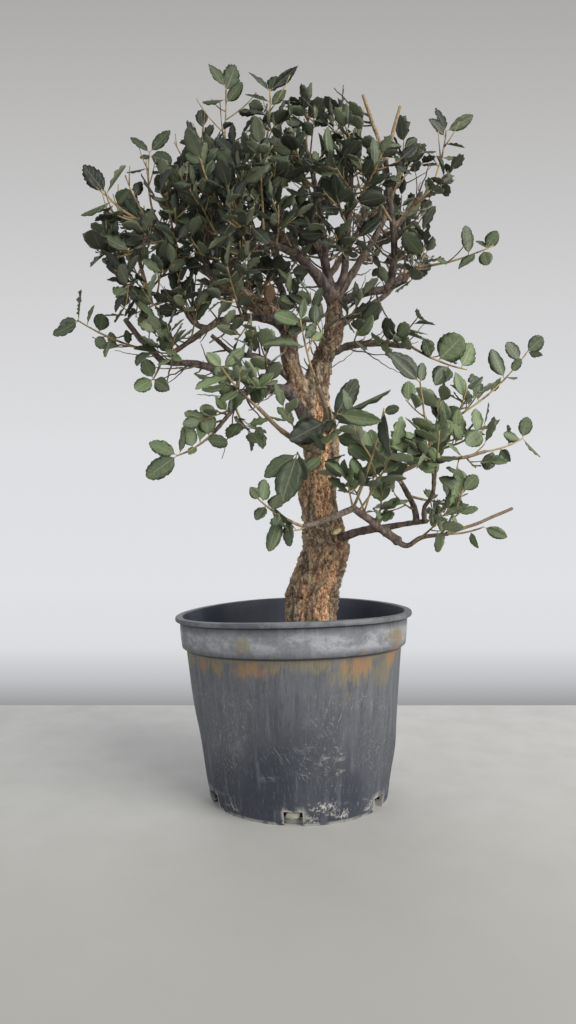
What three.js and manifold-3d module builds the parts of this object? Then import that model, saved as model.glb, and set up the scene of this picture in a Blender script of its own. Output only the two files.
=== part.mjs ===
// A cork oak bonsai in a round plastic nursery pot, in millimetres with +Z up.
// The origin is the centre of the pot's underside, and the tree's front faces -Y.
import * as THREE from 'three';
import { mergeVertices } from 'three/addons/utils/BufferGeometryUtils.js';
import Module from 'manifold-3d';

const wasm = await Module();
wasm.setup();

// Pot
const potHeight = 170.8;
const lipRadius = 110;
const lipHeight = 4.7;
const lipOverhang = 4.4;
const collarFootHeight = 141;
const collarFootRadius = 103.8;
const wallTopRadius = 99.9;
const wallMiddleHeight = 75;
const wallMiddleRadius = 93.6;
const baseRadius = 82.4;
const wallThickness = 2.4;
const floorThickness = 3;
const footWidth = 9;
const hubRadius = 30;
const underside = 2.5;
const chamfer = 1;
const collarSlope = 4;
const potSegments = 34;
const rimShift = -5.3;
const rimSideDrop = 3.2;
const rimLeftDrop = 3.1;
const notchAngles = [-64, -4, 56, 116, 176, 236];
const notchWidth = 16;
const notchHeight = 12;
const notchDepth = 12;
const notchOutside = 5;
const notchArch = [0.8, 0.7, 0.35];

// Soil
const soilHeight = 137;
const soilMound = 4;
const soilSegments = 22;
const soilSlack = 0.5;
const soilEdgeDrop = 2;
const soilEdgeWidth = 16;
const moundRadius = 42;
const lumpHeight = 1.6;
const lumpReach = 10;

// Wood
const trunkSides = 22;
const trunkSteps = 24;
const ridgeHeight = 0.05;
const furrowDepth = 0.09;
const plateRows = 4;
const thickLimb = 5;
const limbStep = 36;
const leastTwigRadius = 0.75;
const mostTwigRadius = 1.5;
const forkRadius = 0.9;
const firstFork = 0.34;
const forkSpacing = 0.26;
const forkShare = 0.34;
const forkLean = 0.85;
const forkJitter = 0.08;
const forkLeaves = 2;

// Leaves: stations along the blade and half widths, as shares of its length, and its rib's depth
const bladeStations = [0, 0.1, 0.4, 0.76, 1];
const bladeHalfWidths = [0, 0.045, 0.3, 0.25, 0];
const ribDepths = [0, 1.3, 1.4, 1.3, 0];
const toothShift = 0.04;
const shortestLeaf = 18;
const longestLeaf = 26;
const widestShare = 0.6;
const outlineDroop = 0.04;
const twigStep = 20;
const leafTurn = 2.39996;
const fullTurn = 6.28;
const tryTurn = 0.7;
const tryShrink = 0.015;
const barePart = 0.3;
const tipShare = 0.97;
const lastRoot = 0.985;
const tipLean = 0.15;
const leastLean = 0.65;
const leanRange = 0.45;
const facesUp = 0.7;
const facesOut = 0.4;
const faceJitter = 1.5;

// Room between pieces
const seatGap = 0.3;
const leafRoom = 3.6;
const ownLeafRoom = 2.4;
const outlineRoom = 1.7;
const woodRoom = 1.3;
const rootRoom = 4;
const sampleStep = 2.5;
const samplesAlong = 10;
const innerShare = 0.32;
const ballStep = 4;
const bowTries = 24;
const bowStep = 0.018;
const twigSag = 0.1;
const leafTries = 14;

// Seeds of the draws
const spraySeed = 300;
const twigSeed = 40;
const forkSeed = 5000;

const up = new THREE.Vector3(0, 0, 1);
const point = (x, y, z) => new THREE.Vector3(x, y, z);

// Each limb: its radius at both ends, and the points that its middle line runs through.
const trunkRadii = [27, 25, 24.5, 23.5, 23, 20.5, 18.5, 18, 17.5, 16.5, 15];
const trunkRoute = [
  [11, 0, 96], [11, 0, 158], [13, 0, 185], [19, 0, 205], [25, 0, 225], [23, 0, 242],
  [20, 0, 261], [17, 0, 284], [21, 0, 310], [20, 0, 339], [13, 0, 365],
];
const limbs = {
  leader: [13, 8, [[14, 0, 350], [17, 2, 386], [24, 4, 409], [32, 6, 428], [34, 8, 450], [34, 8, 470]]],
  leftStem: [
    9.5, 8,
    [[12, 0, 350], [-2, -6, 381], [-9, -8, 410], [-11, -8, 433], [-25, -6, 447], [-44, -2, 460],
      [-63, 2, 473], [-80, 6, 485]],
  ],
  lowLeft: [
    6.5, 3,
    [[8, -4, 350], [-9, -10, 372], [-27, -16, 376], [-45, -22, 381], [-67, -28, 388],
      [-93, -30, 395], [-127, -24, 398]],
  ],
  lowLeftStub: [2.8, 2.4, [[-125, -24, 398], [-145, -18, 419], [-162, -14, 440]]],
  deadLeft: [3, 1.8, [[-9, -6, 387], [-36, -20, 403], [-60, -26, 406], [-80, -30, 421]]],
  midLeft: [4.5, 3.5, [[-12, -8, 433], [-29, -16, 440], [-50, -20, 440], [-76, -24, 435]]],
  midLeftLow: [3, 2.2, [[-74, -24, 436], [-94, -30, 420], [-119, -30, 402]]],
  midLeftUp: [
    2.6, 1.8,
    [[-74, -24, 436], [-84, -27, 429], [-96, -32, 432], [-104, -38, 443], [-118, -44, 450],
      [-136, -50, 455]],
  ],
  hangLeft: [1.8, 1.5, [[-134, -50, 454], [-139, -54, 474], [-142, -56, 489]]],
  lowerLeft: [2.6, 1.6, [[-38, -20, 379], [-51, -36, 364], [-61, -48, 348], [-75, -56, 329]]],
  frontLow: [4, 3.4, [[28, -2, 233], [51, -28, 242], [71, -44, 245], [84, -60, 235]]],
  frontBack: [3.5, 3, [[84, -60, 235], [63, -84, 248], [42, -104, 262]]],
  frontLeft: [2.6, 1.8, [[43, -103, 262], [19, -122, 252], [1, -136, 247]]],
  lowRight: [3, 2, [[71, -44, 245], [88, -48, 249], [112, -50, 252]]],
  lowRightTwo: [2.6, 1.6, [[83, -60, 235], [92, -64, 231], [104, -66, 238], [127, -66, 241]]],
  lowRightSpur: [1.6, 1.3, [[125, -66, 241], [150, -62, 249], [184, -58, 263]]],
  riserOne: [2.8, 2, [[102, -50, 250], [101, -46, 263], [95, -42, 278], [86, -38, 295]]],
  riserTwo: [2.2, 1.6, [[109, -50, 251], [108, -56, 264], [115, -60, 277], [113, -70, 308]]],
  riserThree: [2.2, 1.5, [[86, -38, 294], [109, -30, 306], [129, -20, 327], [149, -12, 351]]],
  rightLowFront: [1.7, 1.4, [[113, -70, 306], [138, -66, 306], [160, -62, 312]]],
  rightMid: [4, 2.5, [[30, 6, 414], [53, 4, 421], [81, 0, 421], [106, -4, 417]]],
  rightUp: [
    5, 2.6,
    [[34, 8, 460], [60, 2, 470], [83, -4, 473], [89, -8, 494], [89, -8, 524], [86, -6, 553],
      [82, -4, 597]],
  ],
  stubLeft: [2.1, 1.5, [[82, -4, 594], [71, -8, 624], [60, -12, 653]]],
  stubRight: [2.1, 1.5, [[82, -4, 591], [89, -2, 621], [97, 2, 650]]],
  rightTop: [2.4, 1.6, [[89, -8, 529], [109, -4, 551], [124, 0, 567]]],
  rightOut: [3, 2, [[82, -4, 472], [97, -10, 477], [107, -16, 488]]],
  rightUnder: [3.4, 2, [[36, 10, 438], [56, 14, 454], [83, 20, 472], [103, 26, 497]]],
  crownLeft: [
    6, 2.6,
    [[34, 8, 462], [18, 0, 485], [-1, -10, 502], [-22, -20, 523], [-34, -28, 548],
      [-38, -30, 571]],
  ],
  crownLeftTwo: [3.6, 2, [[-1, -10, 502], [-27, -34, 505], [-52, -54, 509]]],
  crownMid: [
    4.4, 2,
    [[34, 8, 466], [27, 10, 498], [24, 14, 528], [19, 20, 565], [13, 24, 601],
      [7, 24, 622]],
  ],
  crownMidTwo: [
    4.6, 2,
    [[34, 8, 464], [43, 2, 490], [45, -8, 515], [46, -22, 537], [47, -36, 559],
      [45, -42, 581]],
  ],
  crownRight: [4.2, 2, [[35, 8, 464], [53, 16, 495], [74, 26, 530], [90, 34, 565], [97, 38, 593]]],
  crownBack: [4.6, 2.2, [[33, 10, 462], [30, 40, 494], [23, 72, 536], [9, 96, 582]]],
  crownBackRight: [3.4, 2, [[30, 46, 500], [54, 76, 543], [75, 94, 587]]],
  crownBackLeft: [4.2, 2, [[-16, -6, 442], [-16, 34, 482], [-37, 66, 521], [-61, 86, 560]]],
  topLeft: [4.6, 2.2, [[-79, 6, 484], [-90, 2, 505], [-85, -6, 527], [-79, -16, 549], [-73, -22, 572]]],
  topLeftTwo: [3.6, 2, [[-79, 6, 484], [-101, 16, 503], [-124, 24, 524], [-144, 30, 557]]],
  topLeftThree: [
    4.2, 2,
    [[-63, 2, 473], [-69, 22, 505], [-76, 38, 541], [-93, 50, 578], [-95, 56, 609]],
  ],
  topLeftFront: [3, 2, [[-73, 4, 480], [-62, -22, 489], [-47, -48, 494]]],
  leftTop: [
    2.8, 1.7,
    [[-89, 1, 506], [-100, -20, 514], [-115, -34, 515], [-132, -44, 514], [-144, -50, 519]],
  ],
  frontStub: [4, 3, [[21, -4, 318], [13, -46, 315], [7, -74, 313]]],
  frontUp: [2.6, 1.6, [[7, -72, 313], [21, -96, 334], [13, -120, 358]]],
  frontUpLeft: [2.4, 1.6, [[7, -72, 313], [-14, -96, 324], [-34, -116, 341]]],
};

// Each leafy spray: the limb that bears it, how far along, where its tip is, the leaves on its
// main twig, its side twigs, and the scale of its leaves.
const sprays = [
  ['topLeft', 1, [-69, -10, 663], 0, 1, 1.05],
  ['crownLeft', 1, [-27, -24, 651], 0, 1, 1.05],
  ['crownMid', 1, [10, 16, 664], 5, 1, 1],
  ['crownMid', 0.8, [-17, 50, 652], 4, 1, 1],
  ['crownMidTwo', 1, [38, -36, 627], 5, 1, 1.05],
  ['crownRight', 1, [105, 30, 630], 4, 1, 1.1],
  ['rightTop', 1, [142, 6, 629], 0, 0, 0.95],
  ['rightTop', 0.5, [137, -34, 571], 4, 0, 0.95],
  ['leftTop', 1, [-173, -46, 544], 0, 0, 1],
  ['leftTop', 0.5, [-117, -60, 548], 4, 1, 1],
  ['hangLeft', 1, [-168, -58, 490], 5, 1, 1],
  ['hangLeft', 0.5, [-146, -86, 446], 5, 1, 1],
  ['topLeftTwo', 1, [-148, 30, 621], 0, 0, 0.95],
  ['topLeftTwo', 0.6, [-173, 52, 574], 5, 1, 1],
  ['lowLeftStub', 0.25, [-198, -44, 431], 0, 0, 0.95],
  ['lowLeft', 1, [-131, -40, 379], 0, 0, 0.85],
  ['midLeftLow', 1, [-108, -66, 410], 4, 0, 0.95],
  ['lowerLeft', 1, [-103, -84, 306], 0, 0, 1.15],
  ['lowerLeft', 0.55, [-42, -84, 326], 4, 0, 1],
  ['lowLeft', 0.42, [-67, -66, 359], 4, 0, 1],
  ['rightMid', 1, [157, -10, 394], 0, 0, 1.2],
  ['rightMid', 0.5, [88, -30, 420], 4, 1, 1.05],
  ['riserThree', 1, [219, 2, 416], 0, 0, 0.95],
  ['riserThree', 0.5, [161, -54, 332], 0, 0, 1],
  ['rightOut', 1, [178, -26, 505], 0, 0, 0.95],
  ['rightLowFront', 1, [196, -50, 325], 0, 0, 1],
  ['lowRightTwo', 0.9, [134, -88, 277], 0, 0, 1],
  ['lowRightTwo', 1, [155, -74, 247], 0, 0, 1],
  ['riserOne', 0.6, [144, -14, 272], 4, 0, 1],
  ['frontLeft', 1, [-33, -150, 268], 0, 0, 0.95],
  ['frontStub', 0.9, [-3, -112, 306], 0, 0, 1.2],
  ['frontUpLeft', 1, [-61, -134, 369], 0, 0, 0.95],
  ['frontUp', 1, [-1, -140, 404], 0, 0, 0.95],
  ['frontUp', 0.5, [26, -156, 330], 0, 0, 1.2],
  ['frontBack', 1, [61, -150, 335], 0, 0, 1],
  ['riserTwo', 1, [95, -110, 363], 0, 0, 1.05],
  ['riserTwo', 0.7, [106, -130, 321], 5, 0, 1],
  ['rightUnder', 1, [130, 44, 525], 3, 1, 1],
  ['topLeftThree', 1, [-100, 66, 664], 3, 1, 1],
  ['topLeftThree', 0.6, [-92, 92, 590], 3, 1, 1],
  ['topLeftFront', 1, [-60, -92, 528], 3, 1, 1],
  ['topLeftFront', 0.6, [-92, -66, 540], 3, 1, 1],
  ['crownLeftTwo', 1, [-84, -84, 556], 3, 1, 1],
  ['crownLeftTwo', 0.6, [-34, -84, 568], 3, 1, 1],
  ['crownBack', 1, [3, 140, 612], 3, 1, 1],
  ['crownBack', 0.6, [-20, 108, 560], 3, 1, 1],
  ['crownBackRight', 1, [95, 130, 606], 3, 1, 1],
  ['crownBackRight', 0.5, [104, 104, 534], 3, 1, 1],
  ['crownBackLeft', 1, [-84, 126, 586], 3, 1, 1],
  ['crownBackLeft', 0.5, [-70, 100, 496], 3, 1, 1],
  ['crownRight', 0.55, [128, 52, 582], 3, 1, 1],
  ['crownMidTwo', 0.6, [70, -72, 566], 3, 1, 1],
  ['crownMid', 0.5, [-8, -46, 604], 3, 1, 1],
  ['rightUp', 0.72, [40, -58, 597], 3, 1, 1],
  ['midLeft', 0.7, [-62, -74, 468], 3, 1, 1],
  ['leftStem', 0.68, [-28, 54, 524], 3, 1, 1],
];

// The leaves that draw the tree's outline, for each spray by its place in the list above: how far
// along the main twig, the tip, the width as a share of the length, and how far it is turned away
const outlineLeaves = {
  1: [
    [0.98, [-85, -14, 682], 0.64, 0.2], [0.94, [-60, 2, 691], 0.5, 0.5],
    [0.82, [-53, -16, 663], 0.5, 0.3], [0.86, [-92, -6, 651], 0.5, 0.8]],
  2: [
    [0.98, [-47, -20, 671], 0.42, 0.4], [0.99, [-1, -29, 670], 0.42, 0.5], [0.86,
    [-50, -28, 645], 0.45, 0.4],
    [0.81, [-12, -30, 647], 0.5, 0.3], [0.7, [-57, -19, 635], 0.45, 1.0], [0.96,
    [-21, -18, 668], 0.6, 0.2]],
  7: [
    [1, [133, 8, 653], 0.5, 0.5], [0.9, [124, -2, 636], 0.62, 0.2], [0.99,
    [168, 3, 642], 0.42, 0.7],
    [0.8, [159, 2, 611], 0.5, -1.1], [0.58, [154, -2, 596], 0.5, -0.7]],
  9: [
    [1, [-191, -52, 567], 0.56, 0.1], [0.98, [-157, -42, 572], 0.5, -1.2], [0.75,
    [-194, -52, 523], 0.45, 0.9]],
  13: [
    [1, [-127, 26, 640], 0.42, 0.4], [0.98, [-167, 30, 636], 0.42, 0.5], [0.93,
    [-125, 22, 607], 0.5, 0.3],
    [0.95, [-155, 22, 610], 0.6, 0.2], [0.74, [-171, 26, 599], 0.45, 1.1]],
  15: [
    [1, [-197, -40, 460], 0.45, -1.1], [0.98, [-217, -52, 416], 0.46, 0.3], [0.99,
    [-216, -38, 430], 0.5, 0.6],
    [0.87, [-182, -50, 443], 0.5, -1.0], [0.7, [-180, -24, 443], 0.55, 0.4],
    [0.52, [-172, -50, 397], 0.5, 1.0], [0.3, [-155, -40, 423], 0.5, 0.7]],
  16: [
    [0.98, [-140, -38, 398], 0.7, 0.2], [0.99, [-146, -46, 369], 0.72, 0.2], [1,
    [-116, -42, 369], 0.85, 0.1]],
  18: [
    [1, [-127, -90, 288], 0.52, 0.1], [0.98, [-127, -80, 318], 0.5, 0.4], [0.93,
    [-97, -82, 330], 0.42, 0.5],
    [0.6, [-97, -72, 334], 0.6, 0.3], [0.24, [-62, -70, 318], 0.55, 0.5], [0.5,
    [-94, -78, 308], 0.6, 0.4],
    [0.15, [-82, -62, 348], 0.7, 0.3], [0.4, [-90, -56, 350], 0.5, 0.8], [0.75,
    [-108, -90, 328], 0.4, 1.0]],
  21: [
    [0.5, [152, -15, 424], 0.8, 0.1], [0.9, [166, 2, 422], 0.6, 0.3], [0.38,
    [116, -18, 421], 0.72, 0.2],
    [0.7, [126, -18, 378], 0.8, 0.2]],
  23: [
    [0.96, [231, -2, 427], 0.72, 0.2], [0.97, [236, 12, 412], 0.5, 0.6], [0.84,
    [197, -2, 422], 0.7, 0.3],
    [0.7, [209, -6, 405], 0.6, 0.3], [0.6, [183, -2, 416], 0.55, 0.4], [0.62,
    [209, 6, 391], 0.5, -0.9],
    [0.38, [191, -4, 388], 0.6, 0.4], [0.24, [166, 4, 394], 0.5, 0.6]],
  24: [
    [0.97, [144, -62, 318], 0.72, 0.1], [1, [174, -58, 340], 0.6, 0.4], [0.85,
    [158, -40, 353], 0.5, 0.5],
    [0.6, [134, -56, 336], 0.6, 0.4], [0.45, [146, -42, 344], 0.55, 0.6], [0.3,
    [120, -50, 330], 0.6, 0.4]],
  25: [
    [0.68, [152, -30, 522], 0.5, 0.3], [0.9, [180, -32, 516], 0.75, 0.2], [0.92,
    [162, -24, 510], 0.6, 0.5],
    [0.78, [144, -34, 481], 0.5, 0.3], [0.86, [171, -32, 485], 0.7, 0.3], [0.42,
    [125, -34, 489], 0.5, 0.6]],
  26: [
    [0.99, [199, -54, 343], 0.7, 0.2], [0.94, [177, -58, 328], 0.55, 0.4], [1,
    [213, -48, 309], 0.5, -1.0],
    [0.6, [186, -40, 338], 0.5, 1.0], [0.35, [180, -66, 303], 0.65, 0.4], [0.2,
    [158, -68, 296], 0.6, 0.5]],
  27: [
    [1, [145, -92, 289], 0.75, 0.2], [0.9, [113, -96, 287], 0.65, 0.3], [0.84,
    [134, -86, 264], 0.6, 0.5]],
  28: [[1, [174, -76, 238], 0.5, 0.3], [0.6, [149, -78, 229], 0.5, 0.8]],
  30: [
    [0.95, [-38, -154, 276], 0.7, 0.3], [0.8, [-34, -158, 252], 0.6, 0.5], [0.88,
    [-27, -138, 283], 0.5, 0.5],
    [0.5, [-25, -154, 229], 0.42, 0.5], [0.36, [-23, -146, 240], 0.5, 0.6], [0.34,
    [-9, -158, 233], 0.4, 0.6],
    [0.76, [-16, -158, 271], 0.55, 0.3]],
  31: [
    [1, [-16, -118, 265], 0.52, 0.2], [0.98, [-30, -106, 287], 0.45, 0.4],
    [0.96, [3, -110, 284], 0.5, 0.5]],
  32: [
    [1, [-72, -140, 379], 0.6, 0.3], [0.98, [-44, -130, 384], 0.45, 0.4], [0.82,
    [-81, -140, 352], 0.45, 0.9],
    [0.5, [-61, -142, 342], 0.5, 0.6]],
  33: [
    [0.98, [2, -144, 419], 0.42, 0.3], [0.95, [-21, -136, 410], 0.62, 0.3], [0.62,
    [-30, -146, 384], 0.45, 0.8],
    [0.7, [11, -136, 403], 0.5, 0.5]],
  34: [
    [1, [58, -160, 324], 0.42, 0.2], [0.6, [43, -134, 360], 0.42, 0.3], [0.94,
    [65, -154, 350], 0.3, -1.4],
    [0.7, [19, -146, 319], 0.62, 0.2], [0.1, [-9, -112, 316], 0.62, 0.2]],
  35: [[1, [64, -156, 299], 0.4, 0.9], [0.96, [72, -152, 335], 0.55, 0.4]],
  36: [[1, [69, -116, 385], 0.55, 0.2], [0.98, [99, -106, 379], 0.5, 0.4]],
};

// A repeatable run of draws between 0 and 1
function drawsFrom(seed) {
  let state = Math.imul(seed, 2654435761) >>> 0;
  return () => {
    state = (Math.imul(state, 1664525) + 1013904223) >>> 0;
    return state / 4294967296;
  };
}

function solidOf(geometry) {
  geometry.deleteAttribute('normal');
  geometry.deleteAttribute('uv');
  const merged = mergeVertices(geometry);
  return new wasm.Manifold(new wasm.Mesh({
    numProp: 3,
    vertProperties: merged.attributes.position.array,
    triVerts: new Uint32Array(merged.index.array),
  }));
}

function geometryOf(solid) {
  const mesh = solid.getMesh();
  const geometry = new THREE.BufferGeometry();
  geometry.setAttribute('position', new THREE.BufferAttribute(mesh.vertProperties, 3));
  geometry.setIndex(new THREE.BufferAttribute(mesh.triVerts, 1));
  geometry.computeVertexNormals();
  return geometry;
}

function largestBody(solid) {
  return solid.decompose().reduce((best, body) => (body.volume() > best.volume() ? body : best));
}

// Moves every vertex to where the rule puts it.
function reshape(geometry, rule) {
  const positions = geometry.attributes.position;
  const place = new THREE.Vector3();
  for (let i = 0; i < positions.count; i++) {
    place.fromBufferAttribute(positions, i);
    const moved = rule(place);
    positions.setXYZ(i, moved.x, moved.y, moved.z);
  }
  return geometry;
}

// A unit shape with its seam closed before it is bent
function closedUnit(geometry) {
  geometry.deleteAttribute('normal');
  geometry.deleteAttribute('uv');
  return mergeVertices(geometry);
}

// The moulded pot has leaned and its rim has gone out of round with age.
function settled(place) {
  const share = Math.min(Math.max(place.z / potHeight, 0), 1);
  const radius = Math.hypot(place.x, place.y);
  const right = radius > 0 ? place.x / radius : 0;
  const edge = Math.min(radius / wallTopRadius, 1);
  const drop = (rimSideDrop * right * right - rimLeftDrop * right) * share * share * edge;
  const shift = rimShift * (1 - (1 - share) ** 1.5);
  return point(place.x + shift, place.y, place.z - drop);
}

function turned(profile, segments) {
  const lathe = new THREE.LatheGeometry(profile.map(([x, y]) => new THREE.Vector2(x, y)), segments);
  return closedUnit(lathe).rotateX(Math.PI / 2);
}

function potGeometry() {
  const lipInside = lipRadius - lipOverhang - wallThickness;
  const collarTopRadius = lipRadius - lipOverhang;
  const inner = (radius) => radius - wallThickness;
  const profile = [
    [0, 0], [hubRadius, 0], [hubRadius + underside, underside],
    [baseRadius - footWidth, underside], [baseRadius - footWidth + chamfer, 0], [baseRadius, 0],
    [wallMiddleRadius, wallMiddleHeight], [wallTopRadius, collarFootHeight - chamfer],
    [collarFootRadius, collarFootHeight], [collarTopRadius, potHeight - lipHeight],
    [lipRadius, potHeight - lipHeight + chamfer / 2], [lipRadius, potHeight - chamfer],
    [lipRadius - chamfer, potHeight], [lipInside, potHeight],
    [inner(collarFootRadius), collarFootHeight], [inner(wallTopRadius), collarFootHeight - collarSlope],
    [inner(wallMiddleRadius), wallMiddleHeight],
    [inner(baseRadius), underside + floorThickness], [0, underside + floorThickness],
  ];
  const bowl = solidOf(turned(profile, potSegments));
  const notches = notchAngles.map((angle) => notchCutter(THREE.MathUtils.degToRad(angle)));
  const cut = notches.reduce((solid, notch) => solid.subtract(notch), bowl);
  return reshape(geometryOf(cut), settled);
}

// A drainage notch at the foot of the wall, with an arched top
function notchCutter(angle) {
  const outline = new THREE.Shape();
  const half = notchWidth / 2;
  const [shoulder, shoulderHeight, crown] = notchArch;
  outline.moveTo(-half, -1);
  outline.lineTo(half, -1);
  outline.lineTo(half * shoulder, notchHeight * shoulderHeight);
  outline.lineTo(half * crown, notchHeight);
  outline.lineTo(-half * crown, notchHeight);
  outline.lineTo(-half * shoulder, notchHeight * shoulderHeight);
  const cutter = new THREE.ExtrudeGeometry(outline, { depth: notchDepth, bevelEnabled: false });
  cutter.rotateX(Math.PI / 2);
  cutter.translate(0, notchDepth - notchOutside - baseRadius, 0);
  cutter.rotateZ(angle);
  return solidOf(cutter);
}

function soilGeometry(woodHole) {
  const clear = wallThickness + seatGap;
  const bottom = underside + floorThickness + seatGap;
  const wallSlope = (wallTopRadius - wallMiddleRadius) / (collarFootHeight - wallMiddleHeight);
  const edge = wallTopRadius - clear - wallSlope * (collarFootHeight - soilHeight) - soilSlack;
  const profile = [
    [0, bottom], [baseRadius - clear - soilSlack, bottom],
    [wallMiddleRadius - clear - soilSlack, wallMiddleHeight], [edge, soilHeight - soilEdgeDrop],
    [edge - soilEdgeWidth, soilHeight],
    [moundRadius, soilHeight + soilMound], [0, soilHeight + soilMound],
  ];
  const heap = reshape(turned(profile, soilSegments), (place) => {
    const moved = settled(place);
    const loose = place.z > soilHeight - 1 && Math.hypot(place.x, place.y) < edge - soilEdgeWidth / 3;
    const lump = Math.sin(place.x / lumpReach + 1) * Math.cos(place.y / lumpReach);
    return moved.setZ(moved.z + (loose ? lumpHeight * lump : 0));
  });
  return geometryOf(largestBody(solidOf(heap).subtract(woodHole)));
}

// Stations along a curve: middle, heading, a side vector carried along without twist, and radius
function stationsAlong(curve, steps, radiusAt) {
  const stations = [];
  const start = curve.getTangent(0);
  let side = Math.abs(start.x) < 0.8 ? point(1, 0, 0) : point(0, 1, 0);
  for (let i = 0; i <= steps; i++) {
    const ahead = curve.getTangent(i / steps);
    side = side.clone().addScaledVector(ahead, -side.dot(ahead)).normalize();
    stations.push({
      middle: curve.getPoint(i / steps),
      ahead,
      side,
      across: ahead.clone().cross(side),
      radius: radiusAt(i / steps),
    });
  }
  return stations;
}

// A round bar bent along the stations; reliefAt scales the radius by angle and station.
function bar(stations, sides, reliefAt = () => 1) {
  const steps = stations.length - 1;
  const unit = closedUnit(new THREE.CylinderGeometry(1, 1, 1, sides, steps));
  return solidOf(reshape(unit, (place) => {
    const index = Math.round((place.y + 0.5) * steps);
    const { middle, side, across, radius } = stations[index];
    const angle = Math.atan2(place.x, place.z);
    const reach = Math.hypot(place.x, place.z) * radius * reliefAt(angle, index);
    return middle.clone()
      .addScaledVector(side, reach * Math.cos(angle))
      .addScaledVector(across, reach * Math.sin(angle));
  }));
}

const curveThrough = (route) => (
  new THREE.CatmullRomCurve3(route.map((place) => point(...place)), false, 'catmullrom', 0.5)
);

const limbCurves = Object.fromEntries(
  Object.entries(limbs).map(([name, [, , route]]) => [name, curveThrough(route)]),
);

function limbRadius(name, share) {
  const [first, last] = limbs[name];
  return first + (last - first) * share;
}

function trunkRadius(share) {
  const place = share * (trunkRadii.length - 1);
  const index = Math.min(Math.floor(place), trunkRadii.length - 2);
  return THREE.MathUtils.lerp(trunkRadii[index], trunkRadii[index + 1], place - index);
}

// Cork plates: ridges and furrows change places every few rows.
function corkRelief(angle, row) {
  const column = Math.round(angle / (2 * Math.PI) * trunkSides);
  const plate = Math.floor(row / plateRows + (column & 2) / 4);
  return (column + plate) % 2 === 0 ? 1 + ridgeHeight : 1 - furrowDepth;
}

function trunkSolid(extra) {
  const thickness = (share) => trunkRadius(share) + extra;
  return bar(stationsAlong(curveThrough(trunkRoute), trunkSteps, thickness), trunkSides, corkRelief);
}

// Trunk and branches in one; extra thickens everything, for cutting what meets it.
function woodSolid(extra) {
  const bars = Object.keys(limbs).map((name) => {
    const curve = limbCurves[name];
    const steps = Math.max(2, Math.round(curve.getLength() / limbStep));
    const sides = limbs[name][0] > thickLimb ? 6 : 4;
    const stations = stationsAlong(curve, steps, (share) => limbRadius(name, share) + extra);
    stations[steps].middle.addScaledVector(stations[steps].ahead, extra);
    return bar(stations, sides);
  });
  return wasm.Manifold.union([trunkSolid(extra), ...bars]);
}

// Balls that fill the wood, so that twigs and leaves can keep off it
function woodBalls() {
  const balls = [];
  const fill = (curve, radiusAt) => {
    const steps = Math.ceil(curve.getLength() / ballStep);
    for (let i = 0; i <= steps; i++) {
      balls.push({ middle: curve.getPoint(i / steps), radius: radiusAt(i / steps) });
    }
  };
  fill(curveThrough(trunkRoute), (share) => trunkRadius(share) * (1 + ridgeHeight));
  Object.keys(limbs).forEach((name) => fill(limbCurves[name], (share) => limbRadius(name, share)));
  return balls;
}

const balls = woodBalls();

// Samples of every twig and leaf placed so far, kept by small cubes of space
const placed = new Map();
const cubeOf = (place) => place.toArray().map((value) => Math.floor(value / leafRoom));

function keep(samples) {
  samples.forEach((sample) => {
    const key = cubeOf(sample.place).join();
    placed.set(key, [...(placed.get(key) ?? []), sample]);
  });
}

function meetsPlaced(sample, ownRoom) {
  const [cx, cy, cz] = cubeOf(sample.place);
  for (let x = cx - 1; x <= cx + 1; x++) {
    for (let y = cy - 1; y <= cy + 1; y++) {
      for (let z = cz - 1; z <= cz + 1; z++) {
        for (const other of placed.get([x, y, z].join()) ?? []) {
          const own = other.spray === sample.spray;
          const room = own ? ownRoom : leafRoom;
          const joined = own && (other.inner || sample.inner);
          if (!joined && other.place.distanceTo(sample.place) < room) return true;
        }
      }
    }
  }
  return false;
}

function meetsWood(place) {
  return balls.some(({ middle, radius }) => middle.distanceTo(place) < radius + woodRoom);
}

const isClear = (samples, ownRoom = ownLeafRoom) => (
  !samples.some((sample) => meetsWood(sample.place) || meetsPlaced(sample, ownRoom))
);

// A twig from start to tip that sags first and turns up towards its tip, bowed sideways on request
function twigCurve(start, tip, bow, turn) {
  const span = tip.clone().sub(start);
  const length = span.length();
  const side = span.clone().cross(up).normalize();
  const over = side.clone().cross(span).normalize();
  const control = start.clone().addScaledVector(span, 0.5)
    .addScaledVector(over, length * (bow * Math.sin(turn) - twigSag))
    .addScaledVector(side, bow * length * Math.cos(turn));
  return new THREE.QuadraticBezierCurve3(start, control, tip);
}

// The first of several bows that keeps the twig clear of wood and of the other twigs
function clearTwig(start, tip, startRadius, spray) {
  for (let i = 0; i < bowTries; i++) {
    const curve = twigCurve(start, tip, bowStep * i, leafTurn * i);
    const steps = Math.ceil(curve.getLength() / sampleStep);
    const samples = [];
    for (let j = 1; j <= steps; j++) {
      const place = curve.getPoint(j / steps);
      if (place.distanceTo(start) > startRadius + rootRoom) samples.push({ place, spray, inner: true });
    }
    if (isClear(samples)) {
      keep(samples);
      return curve;
    }
  }
  return null;
}

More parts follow.
